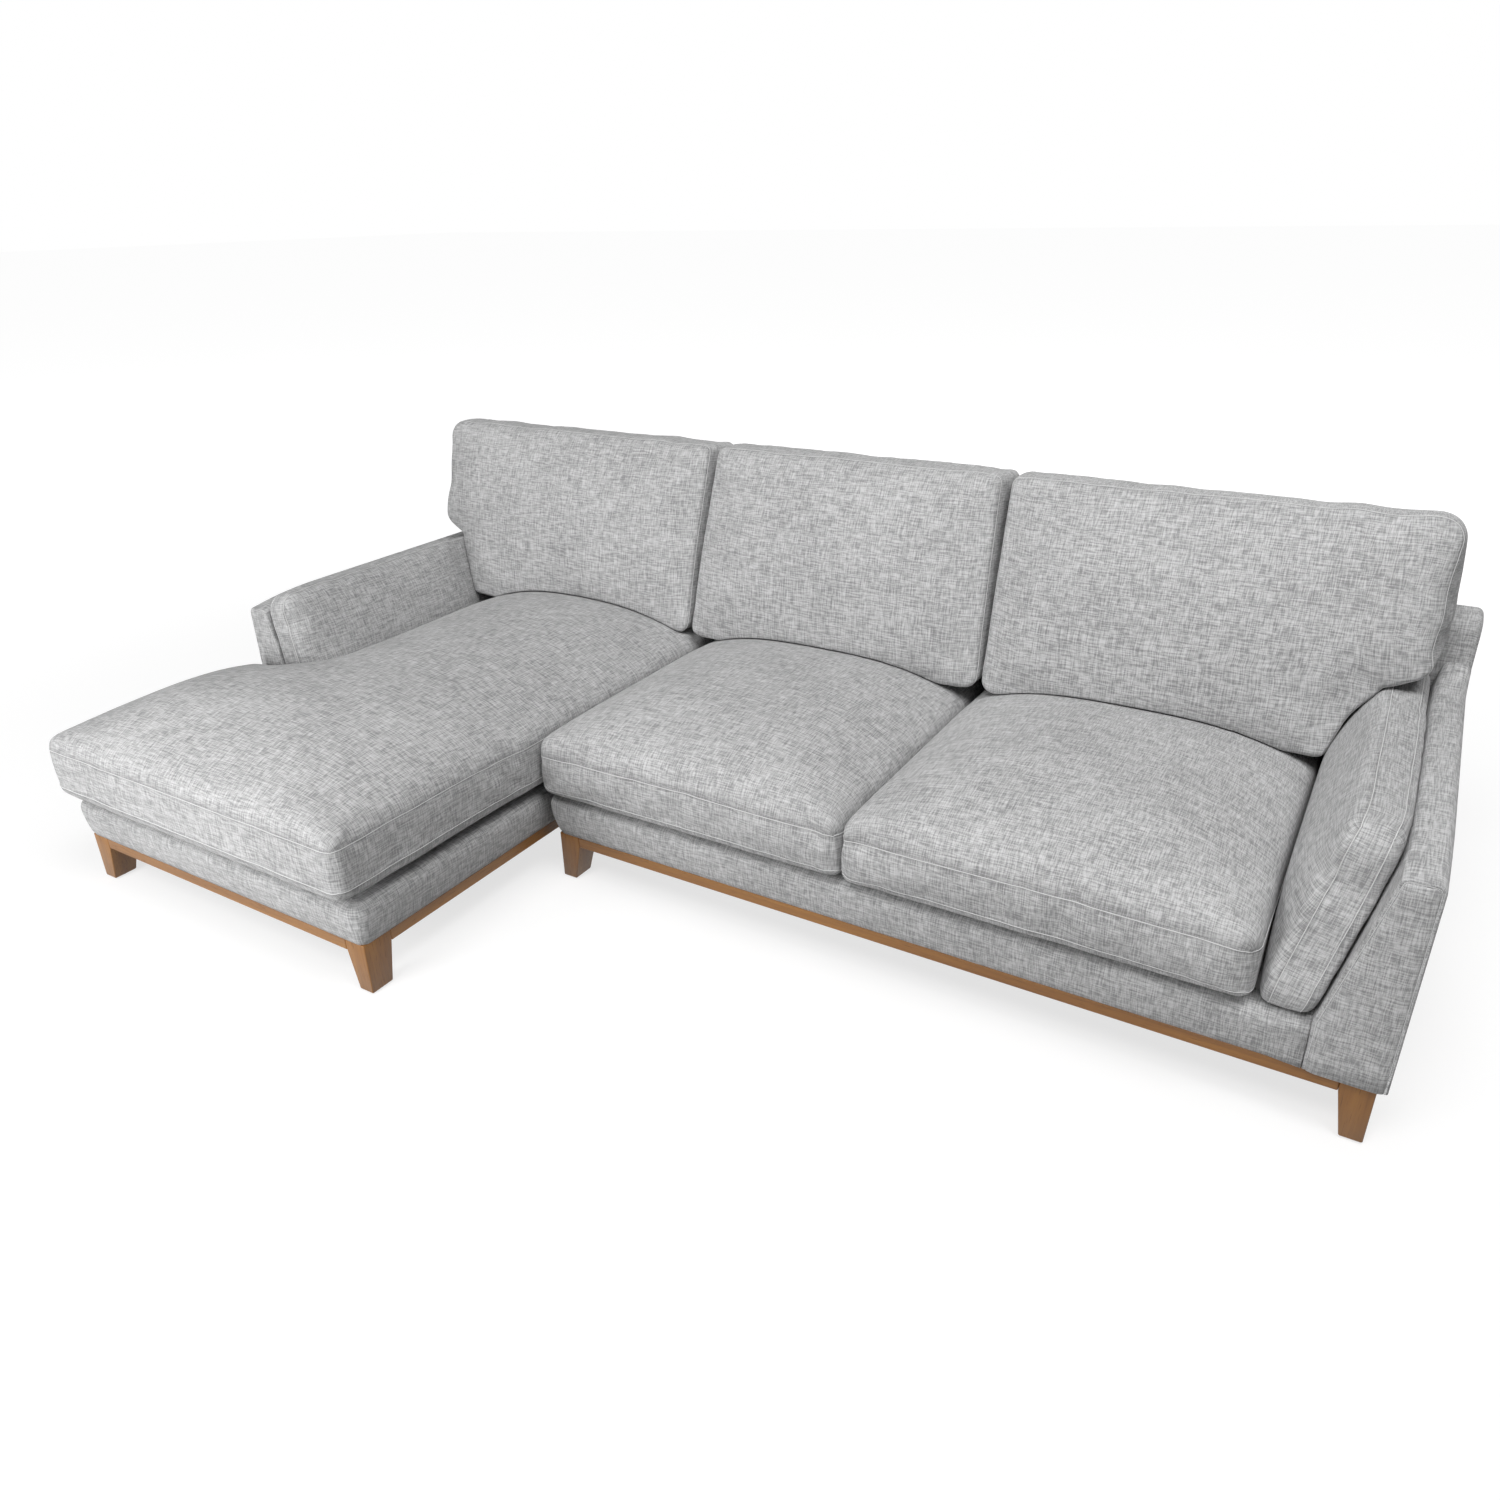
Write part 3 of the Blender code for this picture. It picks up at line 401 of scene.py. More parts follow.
def block(name, xs, ys, zs, material):
    """A plain box between its two places along each axis."""
    (x0, x1), (y0, y1), (z0, z1) = sorted(xs), ys, zs
    corners = [(x, y, z) for z in (z0, z1) for x, y in ((x0, y0), (x1, y0), (x1, y1), (x0, y1))]
    sides = [(3, 2, 1, 0), (4, 5, 6, 7), (0, 1, 5, 4), (1, 2, 6, 5), (2, 3, 7, 6), (3, 0, 4, 7)]
    return new_piece(name, corners, sides, material, smooth=False)


def recalculated(piece):
    """The piece with its close points merged and its faces pointing out."""
    bm = bmesh.new()
    bm.from_mesh(piece.data)
    bmesh.ops.remove_doubles(bm, verts=bm.verts, dist=1e-5)
    bmesh.ops.dissolve_degenerate(bm, edges=bm.edges, dist=1e-6)
    bmesh.ops.recalc_face_normals(bm, faces=bm.faces)
    bm.to_mesh(piece.data)
    bm.free()
    return piece


def applied(piece):
    """The piece with its modifiers worked into a plain mesh."""
    graph = bpy.context.evaluated_depsgraph_get()
    mesh = bpy.data.meshes.new_from_object(piece.evaluated_get(graph),
                                           preserve_all_data_layers=True, depsgraph=graph)
    old = piece.data
    piece.modifiers.clear()
    piece.data = mesh
    mesh.name = piece.name
    bpy.data.meshes.remove(old)
    return piece


def finer(piece):
    """The piece after one subdivision."""
    modifier = piece.modifiers.new("finer", "SUBSURF")
    modifier.levels = modifier.render_levels = 1
    return applied(piece)


def hollowed(piece, xs, ys, zs):
    """The piece with a square pocket cut into it for the timber it covers."""
    cutter = block("pocket", xs, ys, zs, cloth)
    modifier = piece.modifiers.new("pocket", "BOOLEAN")
    modifier.operation = "DIFFERENCE"
    modifier.solver = "MANIFOLD"
    modifier.object = cutter
    applied(piece)
    bpy.data.objects.remove(cutter)


def places_of(piece):
    """The piece's points as an array."""
    places = np.empty(len(piece.data.vertices) * 3)
    piece.data.vertices.foreach_get("co", places)
    return places.reshape(-1, 3)


def put_places(piece, places):
    piece.data.vertices.foreach_set("co", places.ravel())
    piece.data.update()


def dressed(piece, slot, *nodes):
    """Ride on the sofa and stand for some of the solids, which are hidden. The slot is not used."""
    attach(piece, "root")
    if nodes:
        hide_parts(*nodes)
    return piece


def ease(share):
    share = np.clip(share, 0, 1)
    return share * share * (3 - 2 * share)


def quarter(share):
    """A quarter circle's rise, from 0 at the edge to 1."""
    share = np.clip(share, 0, 1)
    return np.sqrt(1 - (1 - share) ** 2)


def dome(share, power):
    """A rounded rise from 0 at the edge to 1, fuller than a quarter circle past a power of 2."""
    return (1 - (1 - np.clip(share, 0, 1)) ** power) ** (1 / power)


def held_near(where, start, end):
    """1 up to the start of a span, falling to 0 at its end."""
    return 1 - ease((where - start) / (end - start))


def span(low, high, step, near_low=seam_steps, near_high=seam_steps):
    """Grid lines over a span: close ones near its ends, even ones between."""
    start = low + (near_low[-1] if near_low else 0)
    end = high - (near_high[-1] if near_high else 0)
    count = max(1, round((end - start) / step))
    lines = [low] + [low + near for near in near_low[:-1]]
    even = [start + (end - start) * k / count for k in range(count + 1)]
    lines += even if near_low else even[1:]
    lines += [high - near for near in reversed(near_high[:-1])] if near_high else []
    return lines + ([high] if near_high else [])


# Cushions


def no_notch(u, v):
    return False


def no_warp(u, v):
    return (u, v)


def square_corners(left, right, front, rear):
    """The corners of a rectangle, each with its ways inward."""
    return ((left, front, 1, 1), (right, front, -1, 1), (left, rear, 1, -1), (right, rear, -1, -1))


class Outline:
    """A cushion's outline on a grid of cells, with rounded corners and any notch left out.

    A corner is its place and its ways inward, and may carry a radius of its own.
    """

    def __init__(self, columns, rows, missing=no_notch, corners=(), radius=0.01, warp=no_warp):
        cells = []
        for i in range(len(columns) - 1):
            for j in range(len(rows) - 1):
                middle = ((columns[i] + columns[i + 1]) / 2, (rows[j] + rows[j + 1]) / 2)
                if not missing(*middle):
                    cells.append(((i, j), (i + 1, j), (i + 1, j + 1), (i, j + 1)))
        keys = sorted({key for cell in cells for key in cell})
        self.index = {key: n for n, key in enumerate(keys)}
        self.cells = [[self.index[key] for key in cell] for cell in cells]
        flat = []
        for i, j in keys:
            u, v = columns[i], rows[j]
            for corner_u, corner_v, inward_u, inward_v, *own in corners:
                size = own[0] if own else radius
                a = (u - corner_u) * inward_u
                b = (v - corner_v) * inward_v
                if 0 <= a < size and 0 <= b < size:
                    c, d = (size - a) / size, (size - b) / size
                    u = corner_u + inward_u * size * (1 - c * math.sqrt(1 - d * d / 2))
                    v = corner_v + inward_v * size * (1 - d * math.sqrt(1 - c * c / 2))
            flat.append(warp(u, v))
        self.flat = np.array(flat)
        self.square = np.array([(columns[i], rows[j]) for i, j in keys])
        self.rim = self.walk_rim()
        self.loop = self.flat[self.rim]
        ahead = np.roll(self.loop, -1, 0)
        self.steps = np.linalg.norm(ahead - self.loop, axis=1)
        self.along = np.concatenate([[0], np.cumsum(self.steps)])
        run = ahead - np.roll(self.loop, 1, 0)
        normal = np.stack([-run[:, 1], run[:, 0]], 1)
        self.rim_inward = normal / np.linalg.norm(normal, axis=1)[:, None]
        self.measure()
        self.neighbours = np.array([[self.index.get((i + a, j + b), -1)
                                     for a, b in ((1, 0), (-1, 0), (0, 1), (0, -1))]
                                    for i, j in keys])

    def walk_rim(self):
        sides = {(a, b) for cell in self.cells for a, b in zip(cell, cell[1:] + cell[:1])}
        following = {a: b for a, b in sides if (b, a) not in sides}
        first = min(following)
        rim = [first]
        while following[rim[-1]] != first:
            rim.append(following[rim[-1]])
        return rim

    def measure(self):
        """Each point's depth from the rim, its way inward and its place along the rim."""
        start, end = self.loop, np.roll(self.loop, -1, 0)
        edge = end - start
        length_squared = (edge ** 2).sum(1)
        self.depth = np.empty(len(self.flat))
        self.inward = np.empty((len(self.flat), 2))
        self.station = np.empty(len(self.flat))
        self.nearest = np.empty(len(self.flat), int)
        for n, point in enumerate(self.flat):
            t = np.clip(((point - start) * edge).sum(1) / length_squared, 0, 1)
            near = start + edge * t[:, None]
            gaps = np.linalg.norm(point - near, axis=1)
            best = int(gaps.argmin())
            self.depth[n] = gaps[best]
            self.inward[n] = (point - near[best]) / max(gaps[best], 1e-9)
            self.station[n] = self.along[best] + self.steps[best] * t[best]
            self.nearest[n] = (best + round(t[best])) % len(start)
        self.depth[self.rim] = 0
        self.inward[self.rim] = self.rim_inward
        self.station[self.rim] = self.along[:-1]
        self.nearest[self.rim] = np.arange(len(self.rim))

    def unrolled(self, panel):
        """The cloth map of a panel: its flat shape, let out by what its rounded edges take up."""
        depths = np.linspace(0, self.depth.max(), 240)
        heights = panel(np.repeat(self.flat[:1], len(depths), 0), depths)
        steps = np.diff(depths)
        taken = np.concatenate([[0], np.cumsum(np.hypot(steps, np.diff(heights)) - steps)])
        low, high = self.square.min(0), self.square.max(0)
        near_low = np.interp(self.square - low, depths, taken[-1] - taken)
        near_high = np.interp(high - self.square, depths, taken[-1] - taken)
        return self.flat - near_low + near_high

    def smoothed(self, heights, rounds, reach):
        """Heights with their creases eased away, more so further from the rim."""
        inner = (self.neighbours >= 0).all(1) & (self.depth > 0)
        weight = ease(self.depth[inner] / reach)
        near = self.neighbours[inner]
        heights = heights.copy()
        for _ in range(rounds):
            heights[inner] += weight * (heights[near].mean(1) - heights[inner])
        return heights


def ripple(station, total, waves, seed):
    """An uneven run of small gathers round a closed seam, from about -1 to 1."""
    random = np.random.default_rng(seed)
    turn = station / total * 2 * math.pi
    height = np.zeros_like(turn)
    for wave in waves:
        count = max(1, round(total / wave))
        height += np.sin(count * turn + random.uniform(0, 7)) * random.uniform(0.6, 1.0)
    swell = 0.55 + 0.45 * np.sin(round(total / 0.45) * turn + random.uniform(0, 7))
    return height / len(waves) * swell


def everywhere(flat):
    return np.ones(len(flat))


def nowhere(flat):
    return np.zeros(len(flat))


def blown(piece, room):
    """Fill the cushion by a cloth simulation; room is how far each of its points may move."""
    start = places_of(piece)
    frames = 20
    held_below = 0.0008
    held = piece.vertex_groups.new(name="held")
    held.add([int(n) for n in np.flatnonzero(room < held_below)], 1.0, "REPLACE")
    modifier = piece.modifiers.new("filling", "CLOTH")
    settings = modifier.settings
    settings.quality = 6
    settings.mass = 0.3
    settings.air_damping = 2.0
    settings.tension_stiffness = 18
    settings.compression_stiffness = 12
    settings.shear_stiffness = 8
    settings.bending_stiffness = 0.6
    settings.use_pressure = True
    settings.uniform_pressure_force = 4.0
    settings.effector_weights.gravity = 0.0
    settings.vertex_group_mass = "held"
    settings.shrink_min = -0.015
    modifier.collision_settings.use_collision = False
    modifier.point_cache.frame_start = 1
    modifier.point_cache.frame_end = frames
    scene = bpy.context.scene
    for number in range(1, frames + 1):
        scene.frame_set(number)
    graph = bpy.context.evaluated_depsgraph_get()
    move = places_of(piece.evaluated_get(graph)) - start
    piece.modifiers.clear()
    scene.frame_set(1)
    length = np.maximum(np.linalg.norm(move, axis=1), 1e-9)
    capped = room * np.tanh(length / np.maximum(room, 1e-6))
    put_places(piece, start + move * (capped / length)[:, None])


def sewn_cushion(name, outline, draw, lower, upper, place, seed, bulge=0.004, free=everywhere,
                 gather=everywhere, gather_depth=0.0022, gather_reach=0.045, smoothing=60,
                 sway=0.004, fill=0.0, give=everywhere, fold=0.0012, narrow=nowhere, calm=6,
                 finish=cloth):
    """A boxed cushion: two crowned panels sewn to a strip, with the seams drawn in.

    free says where nothing presses against the strip, narrow how far the upper seam stands in
    from it, fill how far the filling may push the cloth out and give where the upper panel may
    follow it. calm is how many times the filled panel's creases are eased away.
    """
    flat, depth, loop = outline.flat, outline.depth, outline.loop
    fall, sway_reach, narrow_reach = 0.010, 0.05, 0.04
    total = outline.along[-1]
    free_rim = free(loop)
    free_panel = free_rim[outline.nearest]
    loose = free_rim * sway * ripple(outline.along[:-1], total, long_waves, seed + 40)
    narrow_rim = narrow(loop)
    panels = []
    for side, panel in enumerate((lower, upper)):
        drawn = draw * np.exp(-depth / fall) - loose[outline.nearest] * np.exp(-depth / sway_reach)
        drawn = drawn + side * narrow_rim[outline.nearest] * np.exp(-depth / narrow_reach)
        moved = flat + outline.inward * drawn[:, None]
        heights = outline.smoothed(panel(flat, depth), smoothing, 0.09)
        if side == 1:
            waves = ripple(outline.station, total, small_waves, seed)
            shape = (1 - np.exp(-depth / 0.009)) * np.exp(-depth / gather_reach)
            heights = heights + waves * shape * gather_depth * gather(flat)
        panels.append(place(moved, heights))
    low, high = lower(loop, nowhere(loop)), upper(loop, nowhere(loop))
    tall = float(np.median(high - low))
    rows = max(4, round(tall / strip_step))
    beside_seam = (0.003 / tall, 0.009 / tall)
    shares = [*beside_seam]
    shares += [k / rows for k in range(1, rows) if 0.014 < tall * k / rows < tall - 0.014]
    shares += [1 - share for share in reversed(beside_seam)]
    waves = ripple(outline.along[:-1], total, small_waves, seed)
    folds = ripple(outline.along[:-1], total, small_waves, seed + 80)
    strips = []
    for share in shares:
        near, far = tall * share, tall * (1 - share)
        out = loose + bulge * 4 * share * (1 - share) * free_rim - narrow_rim * share ** 2
        out = out - draw * (math.exp(-near / fall) + math.exp(-far / fall))
        seam_pull = math.exp(-far / 0.03) * (1 - math.exp(-far / 0.008)) * gather_depth
        out = out + (waves * seam_pull * 0.6 + folds * fold * 4 * share * (1 - share)) * free_rim
        strips.append(place(loop - outline.rim_inward * out[:, None], low + (high - low) * share))
    count, rim_count = len(flat), len(outline.rim)
    points = np.concatenate(panels + strips)
    faces, uvs = [], []
    lower_uv, upper_uv = outline.unrolled(lower).tolist(), outline.unrolled(upper).tolist()
    for cell in outline.cells:
        faces += [[count + n for n in cell], cell[::-1]]
        uvs += [[upper_uv[n] for n in cell], [lower_uv[n] for n in cell[::-1]]]
    rings = [list(outline.rim)]
    rings += [[2 * count + k * rim_count + n for n in range(rim_count)] for k in range(len(strips))]
    rings += [[count + n for n in outline.rim]]
    heights = [0.0] + [tall * share for share in shares] + [tall]
    strip_start = 3.1
    stations = [station + strip_start for station in outline.along.tolist()]
    for below, above, v0, v1 in zip(rings, rings[1:], heights, heights[1:]):
        for k in range(rim_count):
            following = (k + 1) % rim_count
            faces.append([below[k], below[following], above[following], above[k]])
            s0, s1 = stations[k], stations[k + 1]
            uvs.append([(s0, v0), (s1, v0), (s1, v1), (s0, v1)])
    seam = np.zeros(len(points))
    for ring in (rings[0], rings[-1]):
        seam[ring] = 1.0
    uvs = [[(u + 0.37 * seed, v + 0.61 * seed) for u, v in face] for face in uvs]
    piece = new_piece(name, points, faces, finish, uvs, seam)
    for label, ring in (("lower_seam", rings[0]), ("upper_seam", rings[-1])):
        piece.vertex_groups.new(name=label).add([int(n) for n in ring], 1.0, "REPLACE")
    if fill:
        under = free_panel * (1 - ease(depth / 0.04)) * 0.5
        over = give(flat) * (free_panel + (1 - free_panel) * ease((depth - 0.01) / 0.07))
        room = fill * np.concatenate([under, over] + [free_rim] * len(strips))
        blown(piece, room)
        places = places_of(piece)
        for axis in range(3):
            panel = places[count:2 * count, axis]
            places[count:2 * count, axis] = outline.smoothed(panel, calm, 0.12)
        put_places(piece, places)
    return piece


def settled(room, clearance, reach):
    """What is left of a gap under reach once the cloth has settled: the clearance or more."""
    share = max(0.0, (room - clearance) / (reach - clearance))
    return clearance + (reach - clearance) * share * share * (2 - share)


def first_hit(tree, start, way):
    return tree.ray_cast(Vector(start), Vector(way))[0]


def top_under(tree, x, y):
    """The highest point of a piece at x, y, or None."""
    return first_hit(tree, (x, y, 1.0), (0, 0, -1))


def rested(piece, beds, clearance, reach):
    """Lower a piece's foot onto the beds: out of them, and down where it stands a little clear."""
    graph = bpy.context.evaluated_depsgraph_get()
    trees = [BVHTree.FromObject(bed, graph) for bed in beds]
    for vertex in piece.data.vertices:
        for tree in trees:
            top = top_under(tree, vertex.co.x, vertex.co.y)
            if top is not None and vertex.co.z < top.z + reach:
                vertex.co.z = top.z + settled(vertex.co.z - top.z, clearance, reach)


def hugged(piece, bed, inward, clearance, reach):
    """Bring a piece's side against a pad's face, out of it or up to it, and an ear onto its top."""
    tree = BVHTree.FromObject(bed, bpy.context.evaluated_depsgraph_get())
    deep, outside = 0.050, 0.4
    for vertex in piece.data.vertices:
        x, y, z = vertex.co
        face = first_hit(tree, (x + inward * outside, y, z), (-inward, 0, 0))
        if face is None:
            continue
        room = (x - face.x) * inward
        if room < -deep:
            top = top_under(tree, x, y)
            if top is not None:
                vertex.co.z = max(z, top.z + clearance)
        elif room < reach:
            vertex.co.x = face.x + inward * settled(room, clearance, reach)


def seam_loop(piece, group):
    """The points of a seam, in order round the cushion."""
    number = piece.vertex_groups[group].index
    members = {v.index for v in piece.data.vertices
               if any(g.group == number and g.weight > 0.8 for g in v.groups)}
    nearby = {n: [] for n in members}
    for edge in piece.data.edges:
        a, b = edge.vertices
        if a in members and b in members:
            nearby[a].append(b)
            nearby[b].append(a)
    first = min(members)
    order = [first]
    while True:
        onward = [n for n in nearby[order[-1]] if n not in order[-2:]]
        if not onward or onward[0] == first:
            break
        order.append(onward[0])
    return [piece.data.vertices[n].co.copy() for n in order]


def pressed(y):
    """How much of a back cushion's weight a place at y takes, from 0 to 1."""
    return ease((y - back_face(deck_top) + 0.240) / 0.080)


def upright(flat, heights):
    """The points of a cushion or deck that lies flat."""
    return np.column_stack([flat, heights])


def seat_cushion(name, outline, seed, lower_rise, round_reach, boxing, crown, reach, power,
                 **facts):
    """A seat cushion on the deck, domed in front and pressed behind by the back cushions."""
    def lower(flat, depth):
        return cushion_floor + lower_rise * (1 - quarter(depth / round_reach))

    def upper(flat, depth):
        rise = crown * dome(depth / reach, power)
        rise = rise - np.minimum(rise, 0.010 * pressed(flat[:, 1]) * quarter(depth / 0.080))
        return cushion_floor + boxing + rise

    def give(flat):
        return 1 - 0.8 * pressed(flat[:, 1])

    return sewn_cushion(f"{name}_cloth", outline, 0.0004, lower, upper, upright, seed, bulge=0.001,
                        fill=0.010, give=give, sway=0.003, calm=36, **facts)


def make_seat_cushions():
    rear = back_face(deck_top) - soft_gap
    step, corner_radius = 0.015, 0.034
    made = []
    for seed, name in ((3, "seat_cushion_left"), (4, "seat_cushion_right")):
        low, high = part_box(name)
        outline = Outline(span(low.x, high.x, step), span(low.y, rear, step),
                          corners=square_corners(low.x, high.x, low.y, rear), radius=corner_radius)

        def free(flat, front=low.y):
            return held_near(flat[:, 1], front + 0.004, front + 0.034)

        made.append(seat_cushion(name, outline, seed, lower_rise=0.035, round_reach=0.080,
                                 boxing=0.115, crown=0.125, reach=0.270, power=2.3, free=free))

    name = "chaise_seat_cushion"
    low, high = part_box(name)
    notch_x = chaise_left + pad_room
    notch_y = seat_front - pad_overhang - 0.012
    columns = span(low.x, notch_x, step, seam_steps, ()) + span(notch_x, high.x, step)[1:]
    rows = span(low.y, notch_y, step) + span(notch_y, rear, step, ())[1:]
    corners = ((low.x, low.y, 1, 1), (high.x, low.y, -1, 1), (high.x, rear, -1, -1),
               (notch_x, rear, 1, -1), (low.x, notch_y, 1, -1))

    def beside_arm(u, v):
        return u < notch_x and v > notch_y

    def before_units(flat):
        return held_near(flat[:, 1], seat_front - 0.12, seat_front - 0.05)

    def front_gathers(flat):
        """Longer soft folds rise from the front seam than from the others."""
        return 0.6 + 0.2 * held_near(flat[:, 1], low.y, low.y + 0.35)

    outline = Outline(columns, rows, beside_arm, corners, corner_radius)
    made.append(seat_cushion(name, outline, 5, lower_rise=0.055, round_reach=0.100, boxing=0.140,
                             crown=0.128, reach=0.290, power=1.9, free=before_units,
                             gather=front_gathers, gather_reach=0.055, smoothing=80))
    return made


def make_arm_pad(label, edge, inward, press, front_slope):
    """A boxed pad leaning on the arm's inner face, strongly crowned towards the seat."""
    tall, shoulder, boxing, full = 0.345, 0.060, 0.074, 0.063
    front = seat_front - pad_overhang
    end = back_face(deck_top)

    def warp(u, v):
        along = (u - front) / (end - front)
        rear_shift = back_lean * v * math.cos(arm_lean) - soft_gap
        return (u + (1 - along) * front_slope * v / tall + along * rear_shift, v)

    outline = Outline(span(front, end, 0.013), span(0, tall, 0.011),
                      corners=((front, tall, 1, -1), (front, 0, 1, 1)), radius=0.045, warp=warp)

    def lower(flat, depth):
        return soft_gap / 2 + 0.022 * (1 - quarter(depth / (shoulder / 2)))

    def upper(flat, depth):
        rise = quarter(depth / shoulder)
        crown = full * (rise + ease(depth / (tall / 2))) / 2
        crown = crown - np.minimum(crown, press * pressed(flat[:, 0]) * rise)
        return boxing + crown

    def place(flat, heights):
        v = flat[:, 1] - 0.008 * pressed(flat[:, 0]) * ease(flat[:, 1] / tall)
        up = v * math.cos(arm_lean) + heights * math.sin(arm_lean) * ease(flat[:, 1] / shoulder)
        from_side = arm_base_width - v * math.sin(arm_lean) + heights * math.cos(arm_lean)
        from_side = np.minimum(from_side, cover_overhang + pad_room - soft_gap)
        return np.column_stack([edge + inward * from_side, flat[:, 0], cushion_floor + up])

    def corner_pulls(flat):
        """The pulls gather round the top front corner."""
        away = np.hypot(flat[:, 0] - front - 0.06, flat[:, 1] - tall)
        return 0.8 + 2.0 * held_near(away, 0.0, 0.20)

    def free(flat):
        above = ease((flat[:, 1] - 0.03) / 0.05)
        return above * held_near(flat[:, 0], end - 0.20, end - 0.10)

    def give(flat):
        return ease((flat[:, 1] - 0.20) / 0.06) * (1 - pressed(flat[:, 0]))

    return recalculated(sewn_cushion(
        f"{label}_arm_pad_cloth", outline, 0.0012, lower, upper, place, 6 + inward, bulge=0.002,
        gather=corner_pulls, gather_depth=0.0032, gather_reach=0.035, smoothing=25, free=free,
        fill=0.006, give=give))


def make_back_cushions(beds, pads):
    """A plain back cushion in the middle, and one each side with an ear over the arm."""
    tilt = math.atan(back_lean)
    foot, head, ledge, droop_reach = 0.200, 0.666, 0.345, 0.200
    shoulder, rear_seam, foot_boxing, head_boxing = 0.060, 0.025, 0.178, 0.100
    step, corner_radius, ear_radius, draw, flare = 0.012, 0.030, 0.050, 0.0015, 0.015
    low = x_joint + 0.004
    high = low + 0.788

    def lower(flat, depth):
        return gap + rear_seam * (1 - quarter(depth / (shoulder / 2)))

    def upper(flat, depth):
        share = (flat[:, 1] - foot) / (head - foot)
        boxing = foot_boxing + (head_boxing - foot_boxing) * share
        crown = 0.022 * quarter(depth / shoulder) + 0.030 * ease(depth / ((head - foot) / 2))
        return gap + rear_seam + boxing + crown

    def place(flat, heights):
        droop = 0.036 * heights / (rear_seam + foot_boxing)
        droop = droop * ease(1 - (flat[:, 1] - foot) / droop_reach)
        z = deck_top + flat[:, 1] * math.cos(tilt) + heights * math.sin(tilt) - droop
        y = back_face(deck_top) + flat[:, 1] * math.sin(tilt) - heights * math.cos(tilt)
        return np.column_stack([flat[:, 0], y, z])

    def foot_gathers(flat):
        return 0.5 + 1.5 * held_near(flat[:, 1], foot + 0.03, foot + 0.12)

    def give(flat):
        return ease((flat[:, 1] - foot) / 0.06)

    def flare_at(v):
        """How far the joints between the cushions stand out of line at a height."""
        return flare * (head - v) / (head - foot)

    def clear_of(side):
        """0 where a side leans on its neighbour, 1 a little away from it."""
        return ease((side - 0.01) / 0.05)

    def set_in(flat, side):
        """The front seams stand further apart at the head, where the cushions lean less."""
        rise = (flat[:, 1] - foot) / (head - foot)
        return (0.004 + 0.006 * rise) * (1 - clear_of(side))

    facts = dict(gather=foot_gathers, gather_depth=0.0055, gather_reach=0.026, fill=0.010,
                 give=give, sway=0.0045)

    def middle():
        def flared(u, v):
            sideways = (u - (low + high) / 2) / ((high - low) / 2)
            return (u + flare * sideways * (head - v) / (head - foot), v)

        def side(flat):
            return np.minimum(flat[:, 0] - low, high - flat[:, 0]) + flare_at(flat[:, 1])

        def free(flat):
            """The sides lean on the neighbours; the head and the foot are free."""
            return 0.1 + 0.9 * clear_of(side(flat))

        def narrow(flat):
            return set_in(flat, side(flat))

        outline = Outline(span(low, high, step), span(foot, head, step),
                          corners=square_corners(low, high, foot, head), radius=corner_radius,
                          warp=flared)
        return sewn_cushion("back_cushion_middle_cloth", outline, draw, lower, upper, place, 11,
                            free=free, narrow=narrow, **facts)

    def eared(side_label, inner, plinth_side, outward, rooms, lift, fill_in, round_share, seed):
        """rooms are how far the foot, the notch and the ear's end are from the plinth's side."""
        foot_room, notch_room, ear_room = rooms
        notch = plinth_side - outward * notch_room
        outer = plinth_side - outward * ear_room
        taper = outward * (foot_room - notch_room)
        notch_far, outer_far = abs(notch - inner), abs(outer - inner)
        fars = span(0, notch_far, step) + span(notch_far, outer_far, step, ())[1:]
        rows = span(foot, ledge, step, seam_steps, ()) + span(ledge, head, step)[1:]

        def under_ear(u, v):
            return (u - notch) * outward > 0 and v < ledge

        def slant(u, v):
            across = max(0, (u - inner) / (notch - inner))
            below = 1 - min(1, (v - foot) / (ledge - foot))
            out = max(0, (u - notch) / (outer - notch))
            above = max(0, min(1, (head - v) / (head - ledge)))
            spread = flare * max(0, 1 - across) * (head - v) / (head - foot)
            drawn = taper * below * (1 + round_share * (1 - below)) * across
            return (u + outward * spread - drawn, v + lift * out * above)

        def full_corner(flat, heights):
            """The inner corner under the ear is filled at the front, where it meets the pad."""
            away = np.hypot(flat[:, 0] - notch, flat[:, 1] - ledge)
            full = fill_in * held_near(away, 0.0, 0.09) * ease(heights / (rear_seam + foot_boxing))
            return place(flat, heights) + np.column_stack([outward * full, 0 * full, -full])

        def side(flat):
            return (flat[:, 0] - inner) * outward - flare_at(flat[:, 1])

        def free(flat):
            beside_pad = held_near(flat[:, 1], ledge + 0.03, ledge + 0.06)
            beside_pad = beside_pad * ease(((flat[:, 0] - notch) * outward + 0.10) / 0.03)
            return 0.1 + 0.9 * clear_of(side(flat)) * (1 - beside_pad)

        def narrow(flat):
            return set_in(flat, side(flat))

        corners = ((inner, foot, outward, 1), (inner, head, outward, -1),
                   (notch, foot, -outward, 1), (outer, ledge, -outward, 1),
                   (outer, head, -outward, -1, ear_radius))
        outline = Outline(sorted(inner + outward * far for far in fars), rows, under_ear, corners,
                          corner_radius, slant)
        return sewn_cushion(f"back_cushion_{side_label}_cloth", outline, draw, lower, upper,
                            full_corner, seed, free=free, narrow=narrow, **facts)

    made = [middle(),
            eared("left", low - soft_gap, chaise_left, -1, (0.167, 0.116, 0.036), lift=0.028,
                  fill_in=0.006, round_share=0.0, seed=12),
            eared("right", high + soft_gap, seat_right, 1, (0.204, 0.148, 0.054), lift=0.013,
                  fill_in=0.016, round_share=1.0, seed=13)]
    for piece in made:
        rested(recalculated(piece), beds, 0.003, 0.014)
    hugged(made[1], pads[0], 1, 0.002, 0.030)
    hugged(made[2], pads[1], -1, 0.002, 0.050)
    return made


# Covers


